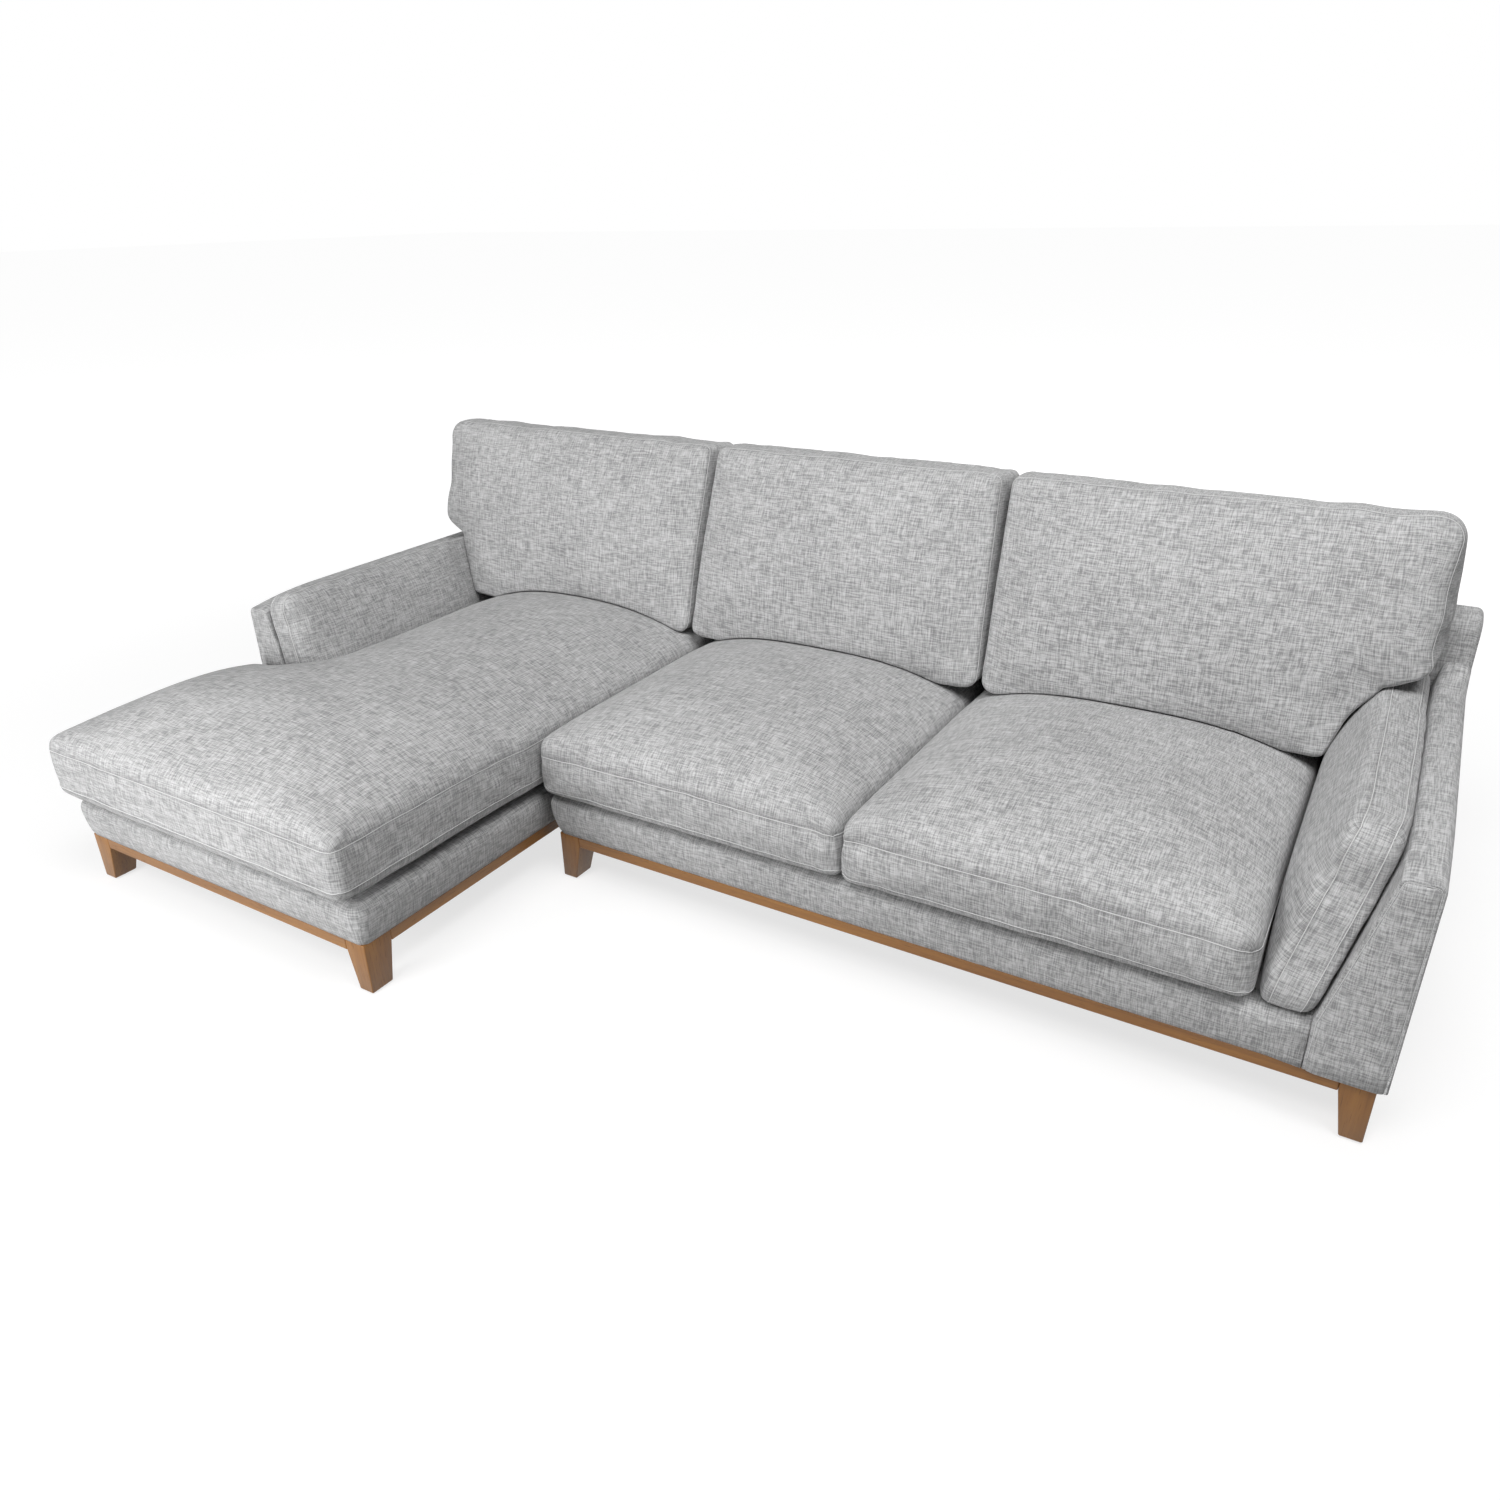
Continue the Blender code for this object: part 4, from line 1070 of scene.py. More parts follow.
def skin(name, rings, material, seam_rings=()):
    """A closed skin over rings of points, with a cloth map in metres along and round it."""
    rings = [np.asarray(ring, float) for ring in rings]
    count = len(rings[0])
    points = np.concatenate(rings)
    along = [0.0]
    for near, far in zip(rings, rings[1:]):
        along.append(along[-1] + float(np.median(np.linalg.norm(far - near, axis=1))))
    middle = rings[len(rings) // 2]
    sides = np.linalg.norm(np.roll(middle, -1, 0) - middle, axis=1)
    round_it = np.concatenate([[0], np.cumsum(sides)])
    run = rings[-1].mean(0) - rings[0].mean(0)
    axis = int(np.abs(run).argmax())
    across = [k for k in (0, 1, 2) if k != axis]
    faces, uvs = [], []
    for r in range(len(rings) - 1):
        for k in range(count):
            following = (k + 1) % count
            face = [r * count + k, r * count + following,
                    (r + 1) * count + following, (r + 1) * count + k]
            faces.append(face)
            corners = points[face]
            normal = np.cross(corners[2] - corners[0], corners[3] - corners[1])
            if abs(normal[axis]) > 0.75 * np.linalg.norm(normal):
                uvs.append(corners[:, across].tolist())
            else:
                uvs.append([(along[r], round_it[k]), (along[r], round_it[k + 1]),
                            (along[r + 1], round_it[k + 1]), (along[r + 1], round_it[k])])
    for start in (0, (len(rings) - 1) * count):
        faces.append(list(range(start, start + count)))
        uvs.append(points[start:start + count, across].tolist())
    seam = np.zeros(len(points))
    for r in seam_rings:
        seam[r * count:(r + 1) * count] = 1.0
    return recalculated(new_piece(name, points, faces, material, uvs, seam))


def arc(centre_a, centre_b, radius, start, end, steps):
    """Points of an arc about a centre, between two angles in degrees."""
    angles = [math.radians(start + (end - start) * k / steps) for k in range(steps + 1)]
    return [(centre_a + radius * math.cos(a), centre_b + radius * math.sin(a)) for a in angles]


def line(start, end, steps):
    """Points after the start of a straight run, up to its end."""
    return [tuple(a + (b - a) * k / steps for a, b in zip(start, end)) for k in range(1, steps + 1)]


def arm_section(inset, top):
    """An arm's section as (inward from the overall side, z) points, finely divided."""
    radius = max(0.004, arm_edge_radius - inset)
    top = top - inset
    inner_top = arm_base_width - arm_slope * (top - deck_top) - inset / math.cos(arm_lean)
    inner_foot = arm_base_width - inset / math.cos(arm_lean)
    reach = radius * math.tan((math.pi / 2 - arm_lean) / 2)
    outer = arc(inset + radius, top - radius, radius, 180, 90, 6)
    inner = arc(inner_top - reach, top - radius, radius, 90, math.degrees(arm_lean), 6)
    section = [(inset, seat_on_plinth)] + line((inset, seat_on_plinth), outer[0], 10) + outer[1:]
    section += line(outer[-1], inner[0], 3) + inner[1:]
    section += line(inner[-1], (inner_foot, deck_top), 10)
    return section + line((inner_foot, deck_top), (inner_foot, seat_on_plinth), 4)


def arm_top(y):
    """The arm top's height at y: rising from the front, then level."""
    share = min(1, max(0, (y - seat_front) / arm_rise_length))
    return arm_front_height + (arm_height - arm_front_height) * (1 - (1 - share) ** 2)


def make_arm(label, edge, inward):
    """An arm in one cloth: a front panel piped round, a padded top and a sweep into the back."""
    beside_border = label == "chaise"
    front = seat_front - arm_front_bulge
    panel_bulge = 0.0 if beside_border else 0.0035
    top = arm_top(front)
    rings = []

    def ring(y, inset, top, lean=0.0):
        rings.append([(edge + inward * a, y + lean * (z - deck_top), z)
                      for a, z in arm_section(inset, top)])

    for inset in (0.0220, 0.0160, 0.0120, 0.0096):
        ring(front - panel_bulge * ease((inset - 0.0060) / 0.014), inset, top)
    for setback, inset in ((0.0004, 0.0080), (0.0026, 0.0062), (0.0020, 0.0048)):
        ring(front + setback, inset, top)
    seam_ring = len(rings) - 2
    for k in range(1, 7):
        angle = math.pi / 2 * k / 6
        ring(front + 0.0014 + 0.006 * (1 - math.cos(angle)), 0.0040 * (1 - math.sin(angle)), top)
    rise_steps, rise_start = 14, front + 0.009
    for k in range(1, rise_steps + 1):
        y = rise_start + (arm_rise_length - 0.02) * k / rise_steps
        ring(y, 0, arm_top(y))
    sweep_run = arm_sweep_share * arm_sweep_radius
    sweep_start = back_face(deck_top) - gap - sweep_run
    rise_end = seat_front + arm_rise_length
    for y in np.arange(rise_end + 0.03, sweep_start - 0.03, 0.035):
        share = float(ease((y - rise_end) / (sweep_start - rise_end)))
        ring(float(y), 0, arm_height, back_lean * share)
    for k in range(10):
        sink = sweep_run * k / 9
        rise = arm_sweep_radius - math.sqrt(arm_sweep_radius ** 2 - sink ** 2)
        ring(sweep_start + sink, 0, arm_height + rise, back_lean)
    cover = skin(f"{label}_arm_upholstery", rings, cloth, [seam_ring])

    frame_face = edge + inward * (cover_overhang + frame_inset - gap)
    past_inner = edge + inward * (arm_base_width + 0.02)
    pocket_front = front - 0.02 if beside_border else seat_front + frame_inset - gap
    hollowed(cover, (frame_face, past_inner), (pocket_front, y_rear), (0, deck_bottom))
    hollowed(cover, (frame_face, frame_face + inward * board_room),
             (front + board_margin - gap, y_rear), (0, arm_board_height + gap))
    inner_foot = deck_top if beside_border else seat_on_plinth
    shown = [(x, y, z) for x, y, z in rings[seam_ring]
             if z > (inner_foot if abs(x - edge) > 0.1 else seat_on_plinth) + 0.001]
    return cover, shown


def back_section(inset):
    """A back's section as (y, z) points, from the front foot over the top to the rear foot."""
    radius = back_edge_radius
    lean = math.atan(back_lean)
    arc_z = back_height - inset - radius
    centre_y = back_face(arc_z) + inset + radius / math.cos(lean)
    front = arc(centre_y, arc_z, radius, 180 - math.degrees(lean), 90, 9)
    rear = arc(y_rear - inset - radius, arc_z, radius, 90, 0, 9)
    foot = (back_face(seat_on_plinth) + inset, seat_on_plinth)
    section = [foot] + line(foot, front[0], 12) + front[1:] + line(front[-1], rear[0], 3)
    section += rear[1:] + line(rear[-1], (y_rear - inset, seat_on_plinth), 14)
    return section


def make_back(label, left, right, low, low_round, high, high_round):
    """A back cover with rounded ends, an outside panel drawn in along its seams and full faces."""
    def end(x, radius, inward):
        made = [(x, radius + 0.012), (x, radius + 0.006), (x, radius + 0.002),
                (x + inward * 0.0014, radius + 0.0004)]
        for k in range(7):
            angle = math.pi / 2 * k / 6
            made.append((x + inward * radius * (1 - math.cos(angle)),
                         radius * (1 - math.sin(angle))))
        return made

    low_end, high_end = end(low, low_round, 1), end(high, high_round, -1)
    first, last = low_end[-1][0], high_end[-1][0]
    level = [(first + (last - first) * k / 24, 0) for k in range(1, 24)]
    rings = [[(x, y, z) for y, z in back_section(inset)]
             for x, inset in low_end + level + high_end[::-1]]
    cover = skin(f"{label}_back_upholstery", rings, cloth, (3, len(rings) - 4))

    frame_left, frame_right = left + frame_inset - gap, right - frame_inset + gap
    frame_face = plinth_rear - frame_inset + gap
    hollowed(cover, (frame_left, frame_right), (back_face(deck_top) - 0.02, frame_face),
             (0, deck_bottom))
    hollowed(cover, (frame_left + board_margin, frame_right - board_margin),
             (frame_face - board_room, frame_face), (0, back_board_height + gap))
    return cover


def border_section(overhang):
    """A padded border's section as (outward, z) points, with a lip lapped over the frame."""
    arc_foot = deck_top - border_edge_radius
    inner, foot = -frame_inset + gap, seat_on_plinth + 0.002
    section = [(inner, seat_on_plinth), (border_foot - 0.003, seat_on_plinth)]
    for share in np.linspace(0.125, 1, 8).tolist():
        out = border_foot + (overhang - border_foot) * math.sin(share * math.pi / 2)
        section.append((out, foot + (arc_foot - foot) * share))
    section += arc(overhang - border_edge_radius, arc_foot, border_edge_radius, 0, 90, 7)[1:]
    return section + [(-border_lip, deck_top), (-border_lip, deck_bottom), (inner, deck_bottom)]


def around(x, y, turn_x, out, start):
    """Points of an offset path round a front corner of a plinth, from an angle in degrees."""
    inset = max(0.018, 0.001 - out)
    return arc(x + turn_x * inset, y + inset, inset + out, start, start + 90, 7)


def make_borders():
    """One padded border round the chaise and one round the two-seat unit, seamed at the corners."""
    stop_rear = back_face(seat_on_plinth) - gap
    stop_arm = seat_front - arm_front_bulge - gap
    arm_side = x_right - arm_base_width - gap
    past = 0.05

    def chaise_path(out, z, joint_out):
        path = [(chaise_left - out, y) for y in np.linspace(stop_arm, chaise_front + past, 14)]
        path += around(chaise_left, chaise_front, 1, out, 180)
        path += [(x, chaise_front - out)
                 for x in np.linspace(chaise_left + past, chaise_right - past, 24)]
        path += around(chaise_right, chaise_front, -1, out, 270)
        return path + [(chaise_right + out, y)
                       for y in np.linspace(chaise_front + past, stop_rear, 34)]

    def flush(out, z, x):
        """The border's standing out, brought level with the arm's face beside it."""
        if out <= 0 or z >= deck_top:
            return out
        arm_out = arm_front_bulge - 0.0002
        on_edge = z >= deck_top - border_edge_radius
        level = out - cover_overhang + arm_out if on_edge else min(arm_out, out + 0.006)
        return out + (level - out) * float(held_near(arm_side - x, 0.0, 0.06))

    def seat_path(out, z, joint_out):
        corner_x = seat_left - joint_out + out if out > -border_lip else seat_left
        path = [(seat_left - joint_out, y)
                for y in np.linspace(stop_rear, seat_front + past, 24)]
        path += around(corner_x, seat_front, 1, out, 180)
        return path + [(x, seat_front - flush(out, z, x))
                       for x in np.linspace(seat_left + past, arm_side, 60)]

    made = []
    for label, path in (("chaise", chaise_path), ("seat", seat_path)):
        columns = [[(x, y, z) for x, y in path(out, z, joint_out)] for (out, z), (joint_out, _)
                   in zip(border_section(cover_overhang), border_section(joint_overhang))]
        made.append(skin(f"{label}_border_upholstery", list(zip(*columns)), cloth))
    return made


def make_deck(label, left, right, front, notch=None):
    """A thin lined deck under the cushions; notch is the arm's inner side and its front."""
    rear = back_face(deck_bottom) - gap
    close = (0.003, 0.010)
    columns = span(left, right, 0.05, close, close)
    rows = span(front, rear, 0.05, close, close)
    if notch:
        columns = sorted({*columns, notch[0]})
        rows = sorted({*rows, notch[1]})

    def beside_arm(u, v):
        return notch is not None and u < notch[0] and v > notch[1]

    def lower(flat, depth):
        return np.full(len(flat), deck_bottom)

    def upper(flat, depth):
        return deck_top - 0.003 * (1 - ease(depth / 0.02))

    return sewn_cushion(f"{label}_deck_lining", Outline(columns, rows, beside_arm), 0.0, lower,
                        upper, upright, 21, bulge=0.0, gather_depth=0.0, smoothing=0, sway=0.0,
                        fold=0.0, finish=lining)


# Things that repeat or follow a path


class Rule(Nodes):
    """A Geometry Nodes tree with named sizes, laid on a piece and then made a plain mesh."""

    def __init__(self, name, **sizes):
        super().__init__(bpy.data.node_groups.new(name, "GeometryNodeTree"))
        sockets = self.tree.interface
        for way in ("INPUT", "OUTPUT"):
            sockets.new_socket("Geometry", in_out=way, socket_type="NodeSocketGeometry")
        self.sizes = {}
        for key, value in sizes.items():
            socket = sockets.new_socket(key, in_out="INPUT", socket_type="NodeSocketFloat")
            self.sizes[socket.identifier] = value
        self.inputs = self.node("NodeGroupInput")

    def made_on(self, piece, geometry, material):
        realized = self.node("GeometryNodeRealizeInstances", Geometry=geometry)["Geometry"]
        painted = self.node("GeometryNodeSetMaterial", Geometry=realized, Material=material)
        self.node("NodeGroupOutput", None, painted["Geometry"])
        modifier = piece.modifiers.new("rule", "NODES")
        modifier.node_group = self.tree
        for identifier, value in self.sizes.items():
            modifier[identifier] = value
        applied(piece)
        piece.data.shade_smooth()
        return piece


def threads(name, loops, radius, closed=True):
    """A sewn line along each loop: a thin round cord laid in the seam."""
    points, edges = [], []
    for loop in loops:
        first = len(points)
        points += loop
        edges += [(first + k, first + k + 1) for k in range(len(loop) - 1)]
        if closed:
            edges.append((first + len(loop) - 1, first))
    rule = Rule(name + "_rule", Radius=radius)
    curve = rule.node("GeometryNodeMeshToCurve", Mesh=rule.inputs["Geometry"])["Curve"]
    section = rule.node("GeometryNodeCurvePrimitiveCircle", {"mode": "RADIUS"}, Resolution=6,
                        Radius=rule.inputs["Radius"])["Curve"]
    cord = rule.node("GeometryNodeCurveToMesh", Curve=curve, Profile_Curve=section)["Mesh"]
    return rule.made_on(new_piece(name, points, edges=edges), cord, thread)


def placed(name, shape, places, material):
    """One small shape set at each place, turned to that place's direction, by a rule."""
    piece = new_piece(name, [place for place, _ in places])
    turns = piece.data.attributes.new("turn", "FLOAT_VECTOR", "POINT")
    for k, (_, turn) in enumerate(places):
        turns.data[k].vector = turn
    rule = Rule(name + "_rule", Size=1.0)
    original = rule.node("GeometryNodeObjectInfo", {"transform_space": "ORIGINAL"}, Object=shape)
    turn = rule.node("GeometryNodeInputNamedAttribute", {"data_type": "FLOAT_VECTOR"}, Name="turn")
    set_down = rule.node("GeometryNodeInstanceOnPoints", Points=rule.inputs["Geometry"],
                         Instance=original["Geometry"], Rotation=turn["Attribute"],
                         Scale=rule.inputs["Size"])["Instances"]
    rule.made_on(piece, set_down, material)
    bpy.data.objects.remove(shape)
    return piece


def turned(name, outline, sides):
    """A small turned shape from (radius, z) points, closed top and bottom."""
    angles = [2 * math.pi * k / sides for k in range(sides)]
    return skin(name, [[(radius * math.cos(a), radius * math.sin(a), z) for a in angles]
                       for radius, z in outline], zinc)


def staple(low, high):
    """A staple's crown, with its thickness between two heights."""
    return block("staple", (-0.005, 0.005), (-0.0006, 0.0006), (low, high), zinc)


def make_webbing(label, left, right, front, long_straps, cross_straps):
    """Straps woven over and under each other, each lapped on the frame at its ends."""
    margin = frame_inset + rail_width - 0.011
    low_x, high_x = left + margin, right - margin
    low_y, high_y = front + margin, plinth_rear - margin
    width, thickness, rise, ramp = 0.060, 0.0009, 0.0005, 0.004
    centre_z = frame_top + gap + 0.001
    points, faces, uvs, ends = [], [], [], []

    def strap(crossings, start, end, across, axis, parity, number):
        stations, heights = [start], [0.0]
        for k, crossing in enumerate(crossings):
            over = 1 if (k + parity) % 2 else -1
            for side, height in ((-1, 0.0), (-1, over * rise), (1, over * rise), (1, 0.0)):
                beyond = -0.002 if height else ramp
                stations.append(crossing + side * (width / 2 + beyond))
                heights.append(height)
        stations.append(end)
        heights.append(0.0)
        first = len(points)
        for station, height in zip(stations, heights):
            for side, face in ((-1, -1), (1, -1), (1, 1), (-1, 1)):
                across_at = across + side * (width / 2 - 0.0005)
                z = centre_z + height + face * thickness / 2
                points.append((across_at, station, z) if axis == 1 else (station, across_at, z))
        for s in range(len(stations) - 1):
            for k in range(4):
                a, b = first + s * 4 + k, first + s * 4 + (k + 1) % 4
                faces.append((a, b, b + 4, a + 4))
                v0, v1 = k * width + number, (k + 1) * width + number
                uvs.append([(stations[s], v0), (stations[s], v1),
                            (stations[s + 1], v1), (stations[s + 1], v0)])
        last = first + (len(stations) - 1) * 4
        faces.extend([tuple(range(first, first + 4)), tuple(range(last, last + 4))])
        uvs.extend([[(0, 0)] * 4] * 2)
        turn = (0, 0, 0 if axis == 1 else math.pi / 2)
        for station in (start + 0.005, end - 0.005):
            for offset in (-0.018, 0, 0.018):
                place = (across + offset, station) if axis == 1 else (station, across + offset)
                ends.append(((*place, centre_z + thickness / 2), turn))

    pitch_x, pitch_y = (high_x - low_x) / long_straps, (high_y - low_y) / cross_straps
    columns = [low_x + pitch_x * (k + 0.5) for k in range(long_straps)]
    rows = [low_y + pitch_y * (k + 0.5) for k in range(cross_straps)]
    for k, x in enumerate(columns):
        strap(rows, low_y, high_y, x, 1, k, k)
    for k, y in enumerate(rows):
        strap(columns, low_x, high_x, y, 0, k + 1, k + 20)
    net = new_piece(f"{label}_webbing_straps", points, faces, webbing, uvs, smooth=False)
    staples = placed(f"{label}_strap_staples", staple(0, 0.0007), ends, zinc)
    return recalculated(net), staples


def make_dust_cover(label, left, right, front):
    """A thin cloth stapled under the frame, notched round the legs and hanging a little full."""
    low_x, high_x = left + rail_width + gap, right - rail_width - gap
    low_y, high_y = front + rail_width + gap, plinth_rear - rail_width - gap
    inner_x = (left + leg_width + gap, right - leg_width - gap)
    inner_y = (front + leg_depth + gap, plinth_rear - leg_depth - gap)
    columns = [low_x, *np.linspace(*inner_x, 27), high_x]
    rows = [low_y, *np.linspace(*inner_y, 27), high_y]

    def at_leg(u, v):
        return not inner_x[0] < u < inner_x[1] and not inner_y[0] < v < inner_y[1]

    outline = Outline(columns, rows, at_leg)
    sag = 0.003 * ease(outline.depth / 0.30)
    flutter = 0.0006 * ripple(outline.station, outline.along[-1], (0.06, 0.11), 31)
    flutter = flutter * (1 - np.exp(-outline.depth / 0.02)) * np.exp(-outline.depth / 0.12)
    count, thickness = len(outline.flat), 0.0005
    top = plinth_top - 0.0002
    points = [(x, y, z) for x, y, z in zip(*outline.flat.T, top - sag + flutter)]
    points += [(x, y, z - thickness) for x, y, z in points]
    faces = outline.cells + [[count + n for n in reversed(cell)] for cell in outline.cells]
    for a, b in zip(outline.rim, outline.rim[1:] + outline.rim[:1]):
        faces.append([a, b, count + b, count + a])
    cover = recalculated(new_piece(f"{label}_dust_cloth", points, faces, bonded))
    spread = high_x - low_x, high_y - low_y
    corner_loss = 4 * (leg_width - rail_width) * (leg_depth - rail_width)
    dressed(cover, "dust_cloth", f"{label}_dust_cover")
    spread[0] * spread[1] - corner_loss

    def spaced(low, high):
        """Places about 60 mm apart between two legs."""
        return np.linspace(low + 0.03, high - 0.03, round((high - low) / 0.06))

    z, inset = top - thickness, 0.006
    places = [((x, y, z), (0, 0, 0))
              for x in spaced(*inner_x) for y in (low_y + inset, high_y - inset)]
    places += [((x, y, z), (0, 0, math.pi / 2))
               for y in spaced(*inner_y) for x in (low_x + inset, high_x - inset)]
    return placed(f"{label}_dust_staples", staple(-thickness, 0.0001), places, zinc)


# Legs and fasteners


def make_leg(node, corner_x, inward_x, corner_y, inward_y):
    """A leg square through the rail, drawn in below it, with eased edges and a chamfered foot."""
    glide, radius = 0.003, 0.0022
    foot_width, foot_depth = 0.038, 0.055
    rings = []
    for z, width, depth, inset in (
            (glide, foot_width, foot_depth, 0.003),
            (glide + 0.0012, foot_width, foot_depth, 0.0012),
            (glide + 0.003, foot_width, foot_depth, 0),
            (rail_bottom - 0.004, leg_width - 0.0009, leg_depth - 0.0007, 0),
            (rail_bottom - 0.001, leg_width - 0.0002, leg_depth - 0.0001, 0),
            (rail_bottom + 0.002, leg_width, leg_depth, 0),
            (plinth_top - 0.002, leg_width, leg_depth, 0),
            (plinth_top - 0.0006, leg_width, leg_depth, 0.0006),
            (plinth_top, leg_width, leg_depth, 0.002)):
        x0, x1 = sorted((corner_x + inward_x * inset, corner_x + inward_x * (width - inset)))
        y0, y1 = sorted((corner_y + inward_y * inset, corner_y + inward_y * (depth - inset)))
        ring = []
        for x, y, start in ((x1 - radius, y1 - radius, 0), (x0 + radius, y1 - radius, 90),
                            (x0 + radius, y0 + radius, 180), (x1 - radius, y0 + radius, 270)):
            ring += arc(x, y, radius, start, start + 90, 4)
        rings.append([(a, b, z) for a, b in ring])
    leg = skin(node + "_turned", rings, oak[2])
    leg.data.set_sharp_from_angle(angle=math.radians(40))
    return leg


units = (("chaise", chaise_left, chaise_right, chaise_front),
         ("seat", seat_left, seat_right, seat_front))


def make_legs():
    places = []
    for label, left, right, front in units:
        for side, x, inward_x in (("left", left, 1), ("right", right, -1)):
            for end, y, inward_y in (("front", front, 1), ("rear", plinth_rear, -1)):
                node = f"{label}_leg_{end}_{side}"
                dressed(make_leg(node, x, inward_x, y, inward_y), "plinth_wood", node)
                places.append(((x + inward_x * 0.019, y + inward_y * 0.0275, 0), (0, 0, 0)))
    shape = turned("glide", ((0.0115, 0.0), (0.0128, 0.0008), (0.0128, 0.0034)), 24)
    dressed(placed("leg_glides", shape, places, nylon), "plinth_wood")


def make_hook_screws():
    """Countersunk screws holding the hooks and catches to the plinths."""
    shape = turned("screw", ((0.0020, -0.0002), (0.0042, 0.0), (0.0040, 0.0010),
                             (0.0024, 0.0015), (0.0008, 0.0011)), 14)
    from_end, z = 0.180, plinth_top - 0.014
    places = []
    for y in (seat_front + from_end, plinth_rear - from_end):
        for offset in (-0.022, 0.022):
            for x, turn in ((chaise_right + gap + 0.003, math.pi / 2),
                            (seat_left - gap - 0.003, -math.pi / 2)):
                places.append(((x, y + offset, z), (0, turn, 0)))
    dressed(placed("hook_screws", shape, places, zinc), "connector_steel")


# Putting it together


seats = make_seat_cushions()
pads = [make_arm_pad("chaise", x_left, 1, 0.050, 0.020),
        make_arm_pad("seat", x_right, -1, 0.0, 0.075)]
backs = make_back_cushions(seats, pads)
cushions = seats + pads + backs
for piece in cushions:
    dressed(finer(piece), "upholstery", piece.name.replace("_cloth", ""))
for pieces, fill in ((seats + backs, 0.8), (pads, 0.75)):
    for piece in pieces:
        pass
for piece in cushions:
    loops = [seam_loop(piece, "lower_seam"), seam_loop(piece, "upper_seam")]
    dressed(threads(piece.name.replace("_cloth", "_seams"), loops, 0.0009), "upholstery")

for label, edge, inward in (("chaise", x_left, 1), ("seat", x_right, -1)):
    cover, front_seam = make_arm(label, edge, inward)
    dressed(cover, "upholstery", f"{label}_arm_cover")
    dressed(threads(f"{label}_arm_seam", [front_seam], 0.0007, closed=False), "upholstery")
joint_round, outer_round = 0.006, 0.014
for label, left, right, low, low_round, high, high_round in (
        ("chaise", chaise_left, chaise_right, x_left, outer_round, x_joint - gap / 2, joint_round),
        ("seat", seat_left, seat_right, x_joint + gap / 2, joint_round, x_right, outer_round)):
    cover = make_back(label, left, right, low, low_round, high, high_round)
    dressed(cover, "upholstery", f"{label}_back_cover")
chaise_border, seat_border = make_borders()
dressed(chaise_border, "upholstery",
        "chaise_border_front", "chaise_border_left", "chaise_border_right")
dressed(seat_border, "upholstery", "seat_border_front", "seat_border_left")

room = border_lip + gap
arm_room = arm_base_width + gap
chaise_deck = make_deck("chaise", chaise_left + room, chaise_right - room, chaise_front + room,
                        (x_left + arm_room, seat_front - arm_front_bulge - gap))
seat_deck = make_deck("seat", seat_left + room, x_right - arm_room, seat_front + room)
dressed(chaise_deck, "upholstery", "chaise_deck")
dressed(seat_deck, "upholstery", "seat_deck")

for unit, long_straps, cross_straps in ((units[0], 3, 6), (units[1], 8, 3)):
    net, staples = make_webbing(*unit, long_straps, cross_straps)
    dressed(net, "webbing", f"{unit[0]}_webbing")
    dressed(staples, "connector_steel")
    dressed(make_dust_cover(*unit), "connector_steel")

make_legs()
make_hook_screws()

for name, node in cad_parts.items():
    finish = None
    along_y = name.endswith(("left", "right")) or name == "seat_frame_middle"
    if "_plinth_" in name:
        finish = oak[along_y]
    elif "_frame_" in name:
        finish = pine[along_y]
    elif name.endswith("_board"):
        finish = board
    elif "hook" in name or "catch" in name:
        finish = zinc
    if finish:
        for slot in node.material_slots:
            slot.material = finish


# Room, lights and camera


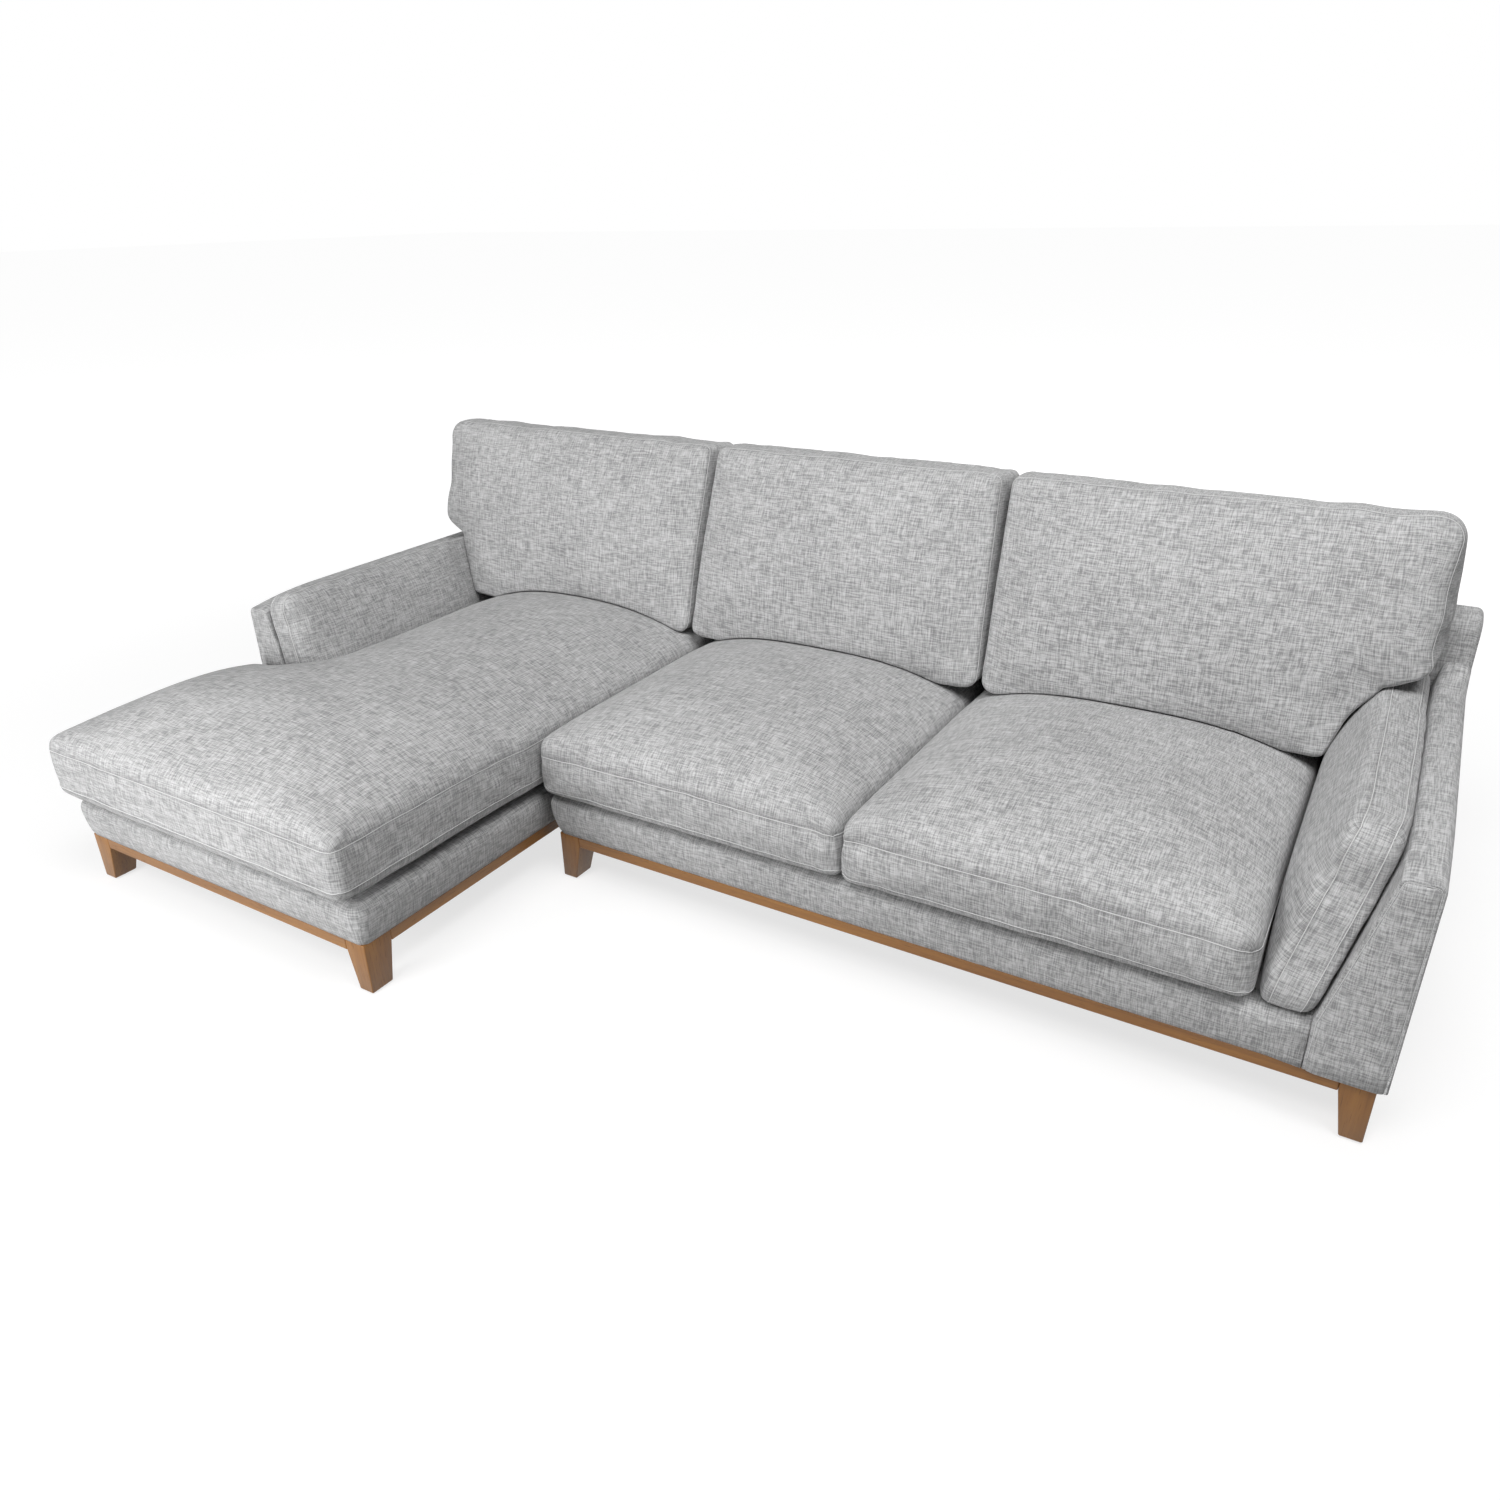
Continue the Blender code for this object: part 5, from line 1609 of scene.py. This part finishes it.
def plain_floor():
    """A matt pale floor that looks nearly white and still shows the sofa's shadow."""
    look = Look("studio_floor", base_color=(0.42, 0.42, 0.42, 1.0), roughness=0.9,
                specular_ior_level=0.1)
    away = look.node("ShaderNodeVectorMath", {"operation": "LENGTH"}, look.place())["Value"]
    glow = look.blend(away.spread(1.5, 5.0), (0.72, 0.72, 0.72), (0.97, 0.97, 0.97))
    shown = look.node("ShaderNodeBsdfPrincipled", None, Base_Color=(0.30, 0.30, 0.30, 1.0),
                      Roughness=0.9, Specular_IOR_Level=0.0, Emission_Color=glow,
                      Emission_Strength=1.0)["BSDF"]
    lit = Amount(look, look.shader.outputs["BSDF"])
    mixed = look.node("ShaderNodeMixShader", None, look.seen(), lit, shown)["Shader"]
    look.fill(look.output.inputs["Surface"], mixed)
    return look.material


reach = 60.0
floor = new_piece("studio_floor", [(-reach, -reach, 0), (reach, -reach, 0), (reach, reach, 0),
                                   (-reach, reach, 0)], [(0, 1, 2, 3)], plain_floor(), smooth=False)

world = bpy.data.worlds.new("studio")
world.use_nodes = True
sky = Nodes(world.node_tree)
background = world.node_tree.nodes["Background"]
sky.fill(background.inputs["Color"], (1.0, 1.0, 1.0, 1.0))
strength = sky.node("ShaderNodeMapRange", None, sky.seen(), To_Min=0.03, To_Max=1.0)
sky.fill(background.inputs["Strength"], strength["Result"])
bpy.context.scene.world = world


def soft_lamp(name, place, aim, size, power):
    light = bpy.data.lights.new(name, "AREA")
    light.shape = "DISK"
    light.size = size
    light.energy = power
    lamp = linked(name, light)
    lamp.location = place
    lamp.rotation_euler = (Vector(aim) - Vector(place)).to_track_quat("-Z", "Y").to_euler()


middle = (0.0, 0.0, 0.4)
soft_lamp("front_lamp", (-1.2, -3.0, 0.9), (-0.6, 0.0, 0.3), 1.4, 55)
soft_lamp("side_lamp", (1.4, -0.5, 3.0), (0.8, 0.0, 0.4), 2.0, 22)
soft_lamp("high_lamp", (0.0, -5.0, 7.5), middle, 3.0, 300)
soft_lamp("far_lamp", (3.5, -2.0, 8.0), middle, 3.0, 240)
soft_lamp("rear_lamp", (0.5, 7.0, 3.0), middle, 3.0, 160)

lens = bpy.data.cameras.new("photo_camera")
lens.sensor_width = 36.0
lens.lens = 26.96
camera = linked("photo_camera", lens)
camera.location = (1.2263, -1.9229, 1.4565)
camera.rotation_euler = [math.radians(a) for a in (64.01353, 1.09293, 31.04136)]
bpy.context.scene.camera = camera
bpy.context.scene.view_settings.view_transform = "Standard"
